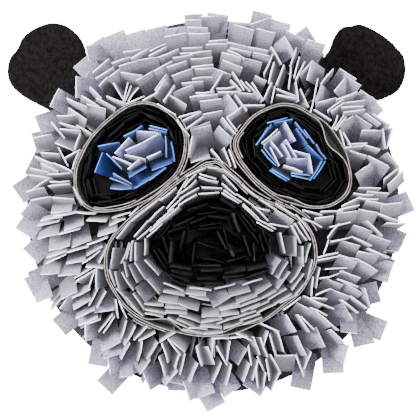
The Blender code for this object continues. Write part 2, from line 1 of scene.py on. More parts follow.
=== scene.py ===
import bpy
import bmesh
import random
from math import atan2, cos, degrees, inf, pi, radians, sin
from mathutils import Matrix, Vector


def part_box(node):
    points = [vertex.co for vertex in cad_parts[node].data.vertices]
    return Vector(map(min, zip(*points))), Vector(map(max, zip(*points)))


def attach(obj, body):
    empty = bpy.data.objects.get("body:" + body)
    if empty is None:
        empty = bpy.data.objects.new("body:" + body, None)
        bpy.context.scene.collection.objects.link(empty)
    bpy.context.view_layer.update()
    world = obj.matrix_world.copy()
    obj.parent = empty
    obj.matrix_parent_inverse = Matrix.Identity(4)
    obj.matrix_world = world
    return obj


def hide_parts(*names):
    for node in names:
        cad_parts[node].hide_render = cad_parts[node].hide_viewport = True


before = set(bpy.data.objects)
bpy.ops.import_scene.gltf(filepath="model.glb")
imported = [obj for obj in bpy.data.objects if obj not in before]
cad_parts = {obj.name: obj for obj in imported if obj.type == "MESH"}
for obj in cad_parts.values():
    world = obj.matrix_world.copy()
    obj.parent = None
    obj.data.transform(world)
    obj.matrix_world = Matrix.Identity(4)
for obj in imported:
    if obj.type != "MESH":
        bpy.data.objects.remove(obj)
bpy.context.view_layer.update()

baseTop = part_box("base")[1].z  # the rows are sewn on at this height

# the camera stands straight above a drawing grid of small squares on the floor,
# and looks down a few squares beside the base's middle
view = {"height": 1.25, "square": 0.001206, "squares": 416, "right": -5, "up": -1.5}


def clamp(value, low=0.0, high=1.0):
    return max(low, min(high, value))


def polar(radius, angle):
    return Vector((radius * cos(radians(angle)), radius * sin(radians(angle))))


def leftOf(along):
    return Vector((-along.y, along.x))


def directionOf(away):
    return degrees(atan2(away.y, away.x))


def boxCorner(points, pick):
    # the low or high corner of the box round some points
    return Vector((pick(point.x for point in points), pick(point.y for point in points)))


def underCamera(across, down, height):
    # the place at a height that covers this grid point for the camera
    half = view["squares"] / 2
    square = view["square"] * (1.0 - height / view["height"])
    return Vector(((across - half) * square + view["right"] * view["square"],
                   (half - down) * square + view["up"] * view["square"]))


def smoothOutline(corners, closed=True, resolution=12):
    # a curve through the corners, read back as points
    curve = bpy.data.curves.new("outline", "CURVE")
    spline = curve.splines.new("BEZIER")
    spline.bezier_points.add(len(corners) - 1)
    for point, corner in zip(spline.bezier_points, corners):
        point.co = (*corner, 0.0)
        point.handle_left_type = point.handle_right_type = "AUTO"
    spline.use_cyclic_u = closed
    spline.resolution_u = resolution
    holder = bpy.data.objects.new("outline", curve)
    mesh = bpy.data.meshes.new_from_object(holder)
    points = [vert.co.to_2d() for vert in mesh.vertices]
    bpy.data.objects.remove(holder)
    bpy.data.curves.remove(curve)
    bpy.data.meshes.remove(mesh)
    return points


class Line:
    # a flat line that can be walked by length

    def __init__(self, points, closed=False):
        self.points = points + [points[0]] if closed else points
        self.closed = closed
        self.marks = [0.0]
        for start, end in zip(self.points, self.points[1:]):
            self.marks.append(self.marks[-1] + (end - start).length)
        self.length = self.marks[-1]
        self.low, self.high = boxCorner(points, min), boxCorner(points, max)

    def at(self, distance):
        distance = distance % self.length if self.closed else clamp(distance, 0.0, self.length)
        index = 0
        while index < len(self.marks) - 2 and self.marks[index + 1] < distance:
            index += 1
        share = (distance - self.marks[index]) / max(self.marks[index + 1] - self.marks[index], 1e-9)
        return self.points[index].lerp(self.points[index + 1], share)

    def near(self, distance, reach=0.006):
        # the place and its smoothed direction
        along = self.at(distance + reach) - self.at(distance - reach)
        return self.at(distance), along.normalized()

    def walk(self, count):
        # evenly spaced places with their directions
        return [self.near(self.length * index / count) for index in range(count)]

    def middle(self, count=60):
        return sum((place for place, along in self.walk(count)), Vector((0.0, 0.0))) / count

    def inset(self, distance, count=160):
        # the same closed line further inside
        return Line([place + leftOf(along) * distance for place, along in self.walk(count)], True)

    def gap(self, point, enough=0.02):
        # distance from a point to the line, negative inside it
        low, high = self.low - point, point - self.high
        if max(low.x, low.y, high.x, high.y) > enough:
            return enough
        best, inside = inf, False
        for start, end in zip(self.points, self.points[1:]):
            span = end - start
            share = clamp((point - start).dot(span) / max(span.length_squared, 1e-12))
            best = min(best, (point - start - span * share).length)
            if (start.y > point.y) != (end.y > point.y):
                if point.x < start.x + (point.y - start.y) / (end.y - start.y) * (end.x - start.x):
                    inside = not inside
        return -best if inside and self.closed else best


def takeMesh(name, bm):
    mesh = bpy.data.meshes.new(name)
    bm.to_mesh(mesh)
    bm.free()
    return mesh


def addObject(name, data):
    item = bpy.data.objects.new(name, data)
    bpy.context.scene.collection.objects.link(item)
    return item


def finishPiece(name, bm, felt, replaces=()):
    mesh = takeMesh(name, bm)
    for material in felt["materials"]:
        mesh.materials.append(material)
    mesh.shade_smooth()
    piece = addObject(name, mesh)
    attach(piece, "root")
    if replaces:
        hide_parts(*replaces)
    return piece


def thicken(piece, thickness):
    # gives a sheet its felt's thickness; the cut edges get the felt's second material, its copy painted
    # lighter or darker for the light the edges catch
    thick = piece.modifiers.new("feltThickness", "SOLIDIFY")
    thick.thickness = thickness
    thick.offset = 0.0
    thick.material_offset_rim = 1


def ofKind(items, kind):
    return [item for item in items if isinstance(item, kind)]


def raiseCopy(bm, height):
    # makes a slab of a flat sheet
    grown = bmesh.ops.extrude_face_region(bm, geom=bm.faces[:])["geom"]
    bmesh.ops.translate(bm, verts=ofKind(grown, bmesh.types.BMVert), vec=(0.0, 0.0, height))
    bmesh.ops.recalc_face_normals(bm, faces=bm.faces)


def nodesNamed(start):
    return sorted(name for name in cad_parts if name.startswith(start))


feltLook = {
    "fibreScale": 900.0,
    "mottleScale": 95.0,
    "mottle": {"Detail": 5.0, "Roughness": 0.62},
    "hair": {"Detail": 3.0, "Distortion": 0.6},
    "hairTurns": (0.4, 1.9),  # two ways that the hairs lie
    "hairStretch": (1.0, 0.16, 0.5),
    "hairHeight": 0.7,
    "mottleHeight": 0.6,
    "blotchRange": (0.40, 0.60),
    "hairRange": (0.58, 0.75),
    "hairCover": 0.55,
    # painted shade towards the tabs' roots: its curve and its darkest share
    "paintedShadePower": 2.2,
    "fadeTo": 0.03,
    "bump": 0.35,
    "bumpDistance": 0.0006,
    "roughness": 0.95,
    "gloss": 0.2,
    "sheen": 0.25,
    "sheenRoughness": 0.5,
}


def setInputs(tree, node, values):
    # each input gets a number or comes from another node
    for socket, value in values.items():
        if isinstance(value, bpy.types.NodeSocket):
            tree.links.new(value, node.inputs[socket])
        else:
            node.inputs[socket].default_value = value


def addNode(tree, kind, values, **settings):
    node = tree.nodes.new(kind)
    for setting, value in settings.items():
        setattr(node, setting, value)
    setInputs(tree, node, values)
    return node.outputs


def mathNode(tree, operation, *values):
    return addNode(tree, "ShaderNodeMath", dict(enumerate(values)), operation=operation)[0]


def rangeNode(tree, value, start, end=(0.0, 1.0)):
    return addNode(tree, "ShaderNodeMapRange", {
        "Value": value, "From Min": start[0], "From Max": start[1],
        "To Min": end[0], "To Max": end[1]})["Result"]


def mixColour(tree, factor, first, second, blend="MIX"):
    first, second = ((*value, 1.0) if isinstance(value, tuple) else value for value in (first, second))
    return addNode(tree, "ShaderNodeMix", {"Factor": factor, 6: first, 7: second},
                   data_type="RGBA", blend_type=blend)[2]


def makeFibreGroup():
    # pressed fibres: soft blotches, short crossing hairs and their height
    group = bpy.data.node_groups.new("pressedFibres", "ShaderNodeTree")
    group.interface.new_socket("Vector", in_out="INPUT", socket_type="NodeSocketVector")
    for way, labels in (("INPUT", ("Fibre Scale", "Mottle Scale")),
                        ("OUTPUT", ("Mottle", "Fibres", "Height"))):
        for label in labels:
            group.interface.new_socket(label, in_out=way, socket_type="NodeSocketFloat")
    given, result = group.nodes.new("NodeGroupInput").outputs, group.nodes.new("NodeGroupOutput")
    mottle = addNode(group, "ShaderNodeTexNoise", {
        "Vector": given["Vector"], "Scale": given["Mottle Scale"], **feltLook["mottle"]})["Fac"]
    hairs = []
    for turn in feltLook["hairTurns"]:
        stretched = addNode(group, "ShaderNodeMapping", {
            "Vector": given["Vector"], "Rotation": (turn, turn * 0.7, turn * 1.3),
            "Scale": feltLook["hairStretch"]})["Vector"]
        hairs.append(addNode(group, "ShaderNodeTexNoise", {
            "Vector": stretched, "Scale": given["Fibre Scale"], **feltLook["hair"]})["Fac"])
    fibres = mathNode(group, "MAXIMUM", *hairs)
    height = mathNode(group, "ADD", mathNode(group, "MULTIPLY", fibres, feltLook["hairHeight"]),
                      mathNode(group, "MULTIPLY", mottle, feltLook["mottleHeight"]))
    setInputs(group, result, {"Mottle": mottle, "Fibres": fibres, "Height": height})
    return group


fibreGroup = makeFibreGroup()


def feltMaterial(name, dark, light, hair, toneShare=0.0, **look):
    # dark and light are the blotches, hair the loose fibres on top of them
    look = feltLook | look
    material = bpy.data.materials.new(name)
    material.use_nodes = True
    tree = material.node_tree
    fibres = addNode(tree, "ShaderNodeGroup", {
        "Vector": tree.nodes.new("ShaderNodeTexCoord").outputs["Object"],
        "Fibre Scale": look["fibreScale"], "Mottle Scale": look["mottleScale"]}, node_tree=fibreGroup)
    colour = mixColour(tree, rangeNode(tree, fibres["Mottle"], look["blotchRange"]), dark, light)
    strands = rangeNode(tree, fibres["Fibres"], look["hairRange"], (0.0, look["hairCover"]))
    colour = mixColour(tree, strands, colour, hair)
    if toneShare:
        # each tab is a little lighter or darker than the next
        tone = addNode(tree, "ShaderNodeAttribute", {}, attribute_name="tone")["Fac"]
        shade = rangeNode(tree, tone, (0.0, 1.0), (1.0 - toneShare, 1.0 + toneShare))
        colour = mixColour(tree, 1.0, colour, shade, "MULTIPLY")
        # painted shade: each tab is painted darker towards its sewn fold, where the tabs shade each other
        height = addNode(tree, "ShaderNodeAttribute", {}, attribute_name="paintedShadeRamp")["Fac"]
        rise = mathNode(tree, "POWER", height, look["paintedShadePower"])
        fade = mathNode(tree, "MULTIPLY_ADD", rise, 1.0 - look["fadeTo"], look["fadeTo"])
        colour = mixColour(tree, 1.0, colour, fade, "MULTIPLY")
    bump = addNode(tree, "ShaderNodeBump", {
        "Strength": look["bump"], "Distance": look["bumpDistance"], "Height": fibres["Height"]})
    setInputs(tree, tree.nodes["Principled BSDF"], {
        "Base Color": colour, "Normal": bump["Normal"], "Roughness": look["roughness"],
        "Specular IOR Level": look["gloss"], "Sheen Weight": look["sheen"],
        "Sheen Roughness": look["sheenRoughness"]})
    return material


# each felt has a material for its faces, and all but the ears' have one for their cut edges: a copy in
# another brightness, painted lighter than the faces as painted highlight where the edges catch the light,
# and for the black felt painted darker than its faces
silverGrey = {"slot": "silver_grey_felt", "materials": (
    feltMaterial("silverGreyFelt", (0.102, 0.093, 0.136), (0.308, 0.286, 0.386), (0.50, 0.47, 0.60), 0.22,
                 mottleScale=620.0, bump=0.5),
    feltMaterial("silverGreyCutEdge", (0.60, 0.568, 0.71), (0.76, 0.725, 0.86), (0.88, 0.85, 0.95), 0.10))}
black = {"slot": "black_felt", "materials": (
    feltMaterial("blackFelt", (0.0130, 0.0127, 0.0142), (0.0215, 0.0210, 0.0230), (0.0280, 0.0275, 0.0290),
                 0.35, sheen=0.0, gloss=0.0, fadeTo=0.6),
    feltMaterial("blackCutEdge", (0.0032, 0.0031, 0.0033), (0.0051, 0.005, 0.0052), (0.0075, 0.0073, 0.0075),
                 0.3, sheen=0.0, gloss=0.0, fadeTo=0.7))}
blue = {"slot": "blue_felt", "materials": (
    feltMaterial("blueFelt", (0.0055, 0.0185, 0.088), (0.0125, 0.0365, 0.156), (0.03, 0.07, 0.25), 0.25,
                 sheen=0.05, mottleScale=300.0, gloss=0.1, fadeTo=0.15),
    feltMaterial("blueCutEdge", (0.034, 0.096, 0.360), (0.058, 0.144, 0.490), (0.11, 0.23, 0.64), 0.15,
                 sheen=0.05, gloss=0.1))}
lilac = {"slot": "lilac_felt", "materials": (
    feltMaterial("lilacFelt", (0.125, 0.133, 0.300), (0.235, 0.245, 0.460), (0.36, 0.37, 0.62), 0.14,
                 mottleScale=300.0),
    feltMaterial("lilacCutEdge", (0.52, 0.55, 0.84), (0.68, 0.70, 0.95), (0.82, 0.84, 1.00), 0.05))}
# painted shade: the rims' taupe faces are painted far darker than their cut edges, as walls standing in
# their own shade
taupe = {"slot": "taupe_felt", "materials": (
    feltMaterial("taupeFelt", (0.012, 0.009, 0.009), (0.022, 0.017, 0.0165), (0.05, 0.039, 0.038),
                 sheen=0.1),
    feltMaterial("taupeCutEdge", (0.100, 0.082, 0.081), (0.220, 0.187, 0.183), (0.33, 0.29, 0.285),
                 mottleScale=160.0))}
charcoal = {"slot": "charcoal_felt", "materials": (
    feltMaterial("charcoalFelt", (0.0140, 0.0135, 0.0150), (0.0230, 0.0224, 0.0245), (0.035, 0.034, 0.036),
                 sheen=0.0, gloss=0.02),
    feltMaterial("charcoalCutEdge", (0.050, 0.049, 0.050), (0.080, 0.078, 0.080), (0.12, 0.118, 0.12)))}
earBlack = {"slot": "ear_felt", "materials": (
    feltMaterial("earFelt", (0.0022, 0.0019, 0.0019), (0.0052, 0.0047, 0.0046), (0.0120, 0.0111, 0.0109),
                 sheen=0.0, mottleScale=260.0, gloss=0.0),)}
print("felts made")

tabCut = {
    "thickness": 0.0012,
    "length": 0.0470,  # from the sewn fold to the free end
    "pitch": 0.0230,
    "unevenPitch": 0.10,
    "across": 2,
    "steps": 8,
    "leafGap": 0.0030,  # between the two leaves of a fold
    "tipNarrower": 0.0005,
    "uncut": 0.12,  # this share of the length isn't cut and can't turn
    "turning": 0.3,  # and over this share it comes free
}
plainTab = {"length": tabCut["length"], "width": tabCut["pitch"], "curl": 0.0, "twist": 0.0, "fan": 0.0,
            "roll": 0.0, "cup": 0.0, "lit": 0.0, "rise": 1.0}


def makeTabTemplate():
    bm = bmesh.new()
    bmesh.ops.create_grid(bm, x_segments=tabCut["across"], y_segments=tabCut["steps"], size=0.5)
    bmesh.ops.translate(bm, verts=bm.verts, vec=(0.0, 0.5, 0.0))
    for edge in bm.edges:
        edge.smooth = not edge.is_boundary
    return takeMesh("tabTemplate", bm)


tabTemplate = makeTabTemplate()


def startFringe():
    bm = bmesh.new()
    for layer in ("tone", "paintedShadeRamp"):
        bm.verts.layers.float.new(layer)
    return bm


def finishFringe(name, bm, felt, replaces=()):
    thicken(finishPiece(name, bm, felt, replaces), tabCut["thickness"])


def addTab(bm, root, along, **tab):
    # a tab rises from its root and leans to the left of the way along points
    tab = plainTab | tab
    tone, paintedShadeRamp = bm.verts.layers.float["tone"], bm.verts.layers.float["paintedShadeRamp"]
    count = len(bm.verts)
    bm.from_mesh(tabTemplate)
    bm.verts.ensure_lookup_table()
    root = Vector((root.x, root.y, baseTop))
    side, ahead, up = leftOf(along).to_3d(), along.to_3d(), Vector((0.0, 0.0, 1.0))
    length = tab["length"]
    first, last = radians(tab["lean"]), radians(tab["lean"] + tab["curl"])
    bend = (last - first) / length
    twist, fan, roll = (radians(tab[key]) for key in ("twist", "fan", "roll"))
    for vert in bm.verts[count:]:
        across = vert.co.x * (tab["width"] - tabCut["tipNarrower"] * vert.co.y)
        share = vert.co.y
        free = min(1.0, max(0.0, share - tabCut["uncut"]) / tabCut["turning"])
        far = length * share * (cos(fan) if free else 1.0) - across * sin(fan) * free
        angle = first + bend * far
        if abs(bend) > 1e-4:
            aside, rise = (cos(first) - cos(angle)) / bend, (sin(angle) - sin(first)) / bend
        else:
            aside, rise = far * sin(first), far * cos(first)
        facing = side * cos(angle) - up * sin(angle)
        widthWay = ahead * cos(twist * share) + side * sin(twist * share)
        widthWay = widthWay * cos(roll * free) + facing * sin(roll * free)
        place = side * aside + up * rise + widthWay * across + ahead * (sin(fan) * length * share * free)
        place += facing * tab["cup"] * free * (1.0 - 4.0 * vert.co.x ** 2)
        vert.co = root + place
        vert[tone] = tab["tone"]
        # painted shade: lit is how light a tab is painted at its root, rise how light at its free end
        vert[paintedShadeRamp] = tab["lit"] + (tab["rise"] - tab["lit"]) * share


def uneven(dice, amount):
    # mostly within the amount, and never past 1.6 of it
    return clamp(dice.gauss(0.0, 0.6), -1.6, 1.6) * amount


rowStyle = {
    "lean": 0,
    "trend": 4.0,  # slow swing of the lean along the row
    "trendWaves": 38.0,
    "unevenLean": 4,
    "split": 6,  # between the two leaves
    "unevenSplit": 3.0,
    "open": 0.1,  # share of the tabs whose leaves stand well apart
    "opened": 16.0,  # by 0.6 to 1.4 of this
    "curl": 0,
    "unevenCurl": 5.0,
    "fan": 3.0,
    "unevenFan": 1.5,
    "twist": 6,
    "unevenLeaf": 1.6,
    "length": tabCut["length"],
    "unevenLength": 0.0010,
    "unevenPlace": 0.0006,
    "unevenCup": 0.0007,
    "within": None,  # the rim that the row stands inside
}


def clearLean(place, along, lean, width, length, within, step=2.5, most=22):
    # the lean that a tab can have before its free end meets a rim
    step = -step if lean > 0 else step
    for attempt in range(most):
        tip = place + leftOf(along) * (sin(radians(lean)) * length)
        if all(tipIsClear(tip + along * (width * share), within) for share in (-0.5, 0.0, 0.5)):
            break
        lean += step
    return lean


def sewRow(bm, line, dice, **style):
    # one folded strip, both leaves cut by the same slits, which aren't quite evenly spaced
    style = rowStyle | style
    leaves = (-1, 1) if style["lean"] > 0 else (1, -1)
    count = max(1, round(line.length / tabCut["pitch"]))
    widths = [1.0 + uneven(dice, tabCut["unevenPitch"]) for index in range(count)]
    total = sum(widths)
    phase = dice.random() * 6.0
    start = 0.0
    for width in [width * line.length / total for width in widths]:
        middle = start + width / 2
        start += width
        trend = style["trend"] * sin(middle * style["trendWaves"] + phase)
        base = style["lean"] + trend + uneven(dice, style["unevenLean"])
        split = abs(style["split"] + uneven(dice, style["unevenSplit"]))
        if dice.random() < style["open"]:
            split += style["opened"] * (0.6 + 0.8 * dice.random())
        fan = uneven(dice, style["fan"])
        for leaf in leaves:
            place, along = line.near(middle + uneven(dice, style["unevenPlace"]), width * 0.4)
            place = place + leftOf(along) * (leaf * tabCut["leafGap"] / 2)
            curl = style["curl"] + uneven(dice, style["unevenCurl"])
            length = style["length"] + uneven(dice, style["unevenLength"])
            lean = base + leaf * split / 2 + uneven(dice, style["unevenLeaf"])
            lean = clearLean(place, along, lean + curl / 2, width, length, style["within"])
            tip = place + leftOf(along) * (sin(radians(lean)) * length)
            tip += along * (sin(radians(fan)) * length)
            if not isTaken(tip, style["keepOff"]):
                # painted shade: a shorter tab is painted darker at its free end
                addTab(bm, place, along, lean=lean - curl / 2, curl=curl, twist=uneven(dice, style["twist"]),
                       fan=fan + uneven(dice, style["unevenFan"]), cup=uneven(dice, style["unevenCup"]),
                       width=width, length=length, rise=length / tabCut["length"], tone=dice.random())


# the rims, anticlockwise; a parting of the leaves is the direction from the rim's middle, the
# half angle and the width at its widest; an overlap is a further leaf from one direction to
# another, this far outside the rim's line, or inside it where the distance is negative
eyeLeftRim = {
    "name": "eyeRimLeft",
    "node": "eye_rim_left",
    "seed": 10,
    "corners": (
        (-0.082, 0.122), (-0.117, 0.106), (-0.141, 0.083), (-0.155, 0.06), (-0.161, 0.035), (-0.158, 0.012),
        (-0.142, -0.005), (-0.112, -0.005), (-0.079, 0.0065), (-0.052, 0.0255), (-0.038, 0.042),
        (-0.031, 0.07), (-0.038, 0.098), (-0.057, 0.115)),
    "partings": ((300, 30, 0.0020),),
    "overlaps": ((-25, 40, 0.0026), (234, 281, -0.0056)),
}
eyeRightRim = {
    "name": "eyeRimRight",
    "node": "eye_rim_right",
    "seed": 11,
    "corners": (
        (0.086, 0.12), (0.056, 0.111), (0.033, 0.092), (0.023, 0.074), (0.027, 0.058), (0.04, 0.04),
        (0.06, 0.02), (0.09, 0.003), (0.124, -0.002), (0.146, 0.005), (0.16, 0.024), (0.158, 0.051),
        (0.143, 0.082), (0.118, 0.106)),
    "partings": ((25, 38, 0.0110), (262, 24, 0.0030)),
    "overlaps": ((148, 258, 0.0026), (152, 184, -0.0058), (246, 270, 0.0050)),
}
muzzleRim = {
    "name": "muzzleRimStrip",
    "node": "muzzle_rim",
    "seed": 14,
    "corners": (
        (-0.001, 0.053), (-0.024, 0.042), (-0.045, 0.0275), (-0.063, 0.012), (-0.087, -0.005),
        (-0.109, -0.024), (-0.122, -0.044), (-0.126, -0.071), (-0.116, -0.1), (-0.096, -0.123),
        (-0.062, -0.14), (-0.012, -0.151), (0.039, -0.142), (0.084, -0.116), (0.11, -0.087), (0.121, -0.056),
        (0.113, -0.026), (0.09, -0.007), (0.046, 0.017), (0.023, 0.038)),
    "partings": ((238, 15, 0.0095), (290, 16, 0.0045)),
    "overlaps": ((42, 148, 0.0026), (58, 100, -0.0056), (12, 34, 0.0050), (18, 31, 0.0074),
                 (214, 240, 0.0026), (219, 232, 0.0052)),
}
rimCut = {
    "leaf": 0.0010,  # the felt's thickness
    "slit": 0.0013,  # between the leaves where they don't part
    "height": 0.0462,
    "step": 0.0035,
    "climbs": (0.030, 0.014, 0.004, 0.0),  # heights of the section's rows over the fold
    "ripples": (1.0, 0.6, 0.2, 0.0, 0.0),  # how much of the wobble each row has
    "opening": (0.12, 0.55),  # how much of a parting the inner leaf's middle rows have
    "closed": 0.6,  # share of the slit that is left low down
    "turnIn": 0.0004,  # at the fold's two corners
    "wobble": 0.0005,
    "waves": (61, 143, 97),  # two of the whole strip and one of the inner leaf
    "tipClearInside": 0.0012,
    "tipClearOutside": 0.0016,
}

rims = (eyeLeftRim, eyeRightRim, muzzleRim)
for rim in rims:
    rim["line"] = Line(smoothOutline(rim["corners"]), True)
    rim["middle"] = rim["line"].middle()


def partingWidth(rim, point):
    facing = directionOf(point - rim["middle"])
    width = rimCut["slit"]
    for direction, halfAngle, widest in rim["partings"]:
        off = abs((facing - direction + 180) % 360 - 180)
        if off < halfAngle:
            width += widest * (0.5 + 0.5 * cos(pi * off / halfAngle))
    return width


def besideLine(rim, first, last, off, count=240):
    # a line outside a part of the rim, between two directions
    points = []
    for place, along in rim["line"].walk(count):
        turn = (directionOf(place - rim["middle"]) - first) % 360
        if turn <= last - first:
            points.append((turn, place - leftOf(along) * off))
    return Line([point for turn, point in sorted(points, key=lambda item: item[0])])


def growStrip(bm, edges):
    grown = bmesh.ops.extrude_edge_only(bm, edges=edges)["geom"]
    return ofKind(grown, bmesh.types.BMEdge), set(ofKind(grown, bmesh.types.BMVert))


def rimSection(rim, distance, place, inward, levels, phase):
    # from the outer leaf's top down through the fold and up the inner leaf
    leaf, slit, turnIn = rimCut["leaf"], rimCut["slit"], rimCut["turnIn"]
    gap = partingWidth(rim, place)
    slow, quick, own = rimCut["waves"]
    wave = rimCut["wobble"] * (sin(distance * slow + phase) + 0.6 * sin(distance * quick + phase * 2))
    other = rimCut["wobble"] * 0.5 * sin(distance * own + phase * 3)
    closeBy = leaf + slit * rimCut["closed"]
    spread = [0.0, 0.0, 0.0, 0.0, turnIn, closeBy - turnIn, closeBy]
    spread += [closeBy + (gap - slit) * share for share in rimCut["opening"]] + [leaf + gap]
    ripples = rimCut["ripples"] + rimCut["ripples"][::-1]
    waves = [wave + (other if row > 5 else 0.0) for row in range(len(levels))]
    return [(place + inward * (leaf / 2 + spread[row] + ripples[row] * waves[row]), level)
            for row, level in enumerate(levels)]


def buildRim(rim, dice):
    line = rim["line"]
    low, top = baseTop + rimCut["leaf"] / 2, baseTop + rimCut["height"]
    levels = [top] + [low + climb for climb in rimCut["climbs"]]
    levels += levels[::-1]
    phase = dice.random() * 6
    count = int(line.length / rimCut["step"])
    stations = [rimSection(rim, line.length * index / count, place, leftOf(along), levels, phase)
                for index, (place, along) in enumerate(line.walk(count))]
    bm = bmesh.new()
    ring = [bm.verts.new((*station[0][0], station[0][1])) for station in stations]
    edges = [bm.edges.new((ring[index], ring[(index + 1) % count])) for index in range(count)]
    for row in range(1, len(levels)):
        edges, fresh = growStrip(bm, edges)
        following = []
        for station, vert in zip(stations, ring):
            twin = next(edge.other_vert(vert) for edge in vert.link_edges if edge.other_vert(vert) in fresh)
            twin.co = (*station[row][0], station[row][1])
            following.append(twin)
        ring = following
    length = line.length
    for first, last, off in rim["overlaps"]:
        # where the strip's ends pass each other a further leaf stands beside it
        beside = besideLine(rim, first, last, off)
        length += beside.length / 2
        chain = [bm.verts.new((*point, low)) for point in beside.points]
        edges = [bm.edges.new(pair) for pair in zip(chain, chain[1:])]
        for share in (0.5, 1.0):
            edges, fresh = growStrip(bm, edges)
            for vert in fresh:
                vert.co.z = low + (top - low) * share
    bmesh.ops.recalc_face_normals(bm, faces=bm.faces)
    piece = finishPiece(rim["name"], bm, taupe, [rim["node"]])
    thicken(piece, rimCut["leaf"])


for rim in rims:
    buildRim(rim, random.Random(rim["seed"]))
print("rims made")


def clearOfRims(point, margin):
    return all(rim["line"].gap(point) > margin for rim in rims)


def isInside(rim, point, margin):
    # inside both leaves, with their parting
    return rim["line"].gap(point) < -(2 * rimCut["leaf"] + partingWidth(rim, point) + margin)


def tipIsClear(point, within):
    # a free end stays on its own side of the rims
    if within:
        return isInside(within, point, rimCut["tipClearInside"])
    return clearOfRims(point, rimCut["tipClearOutside"])


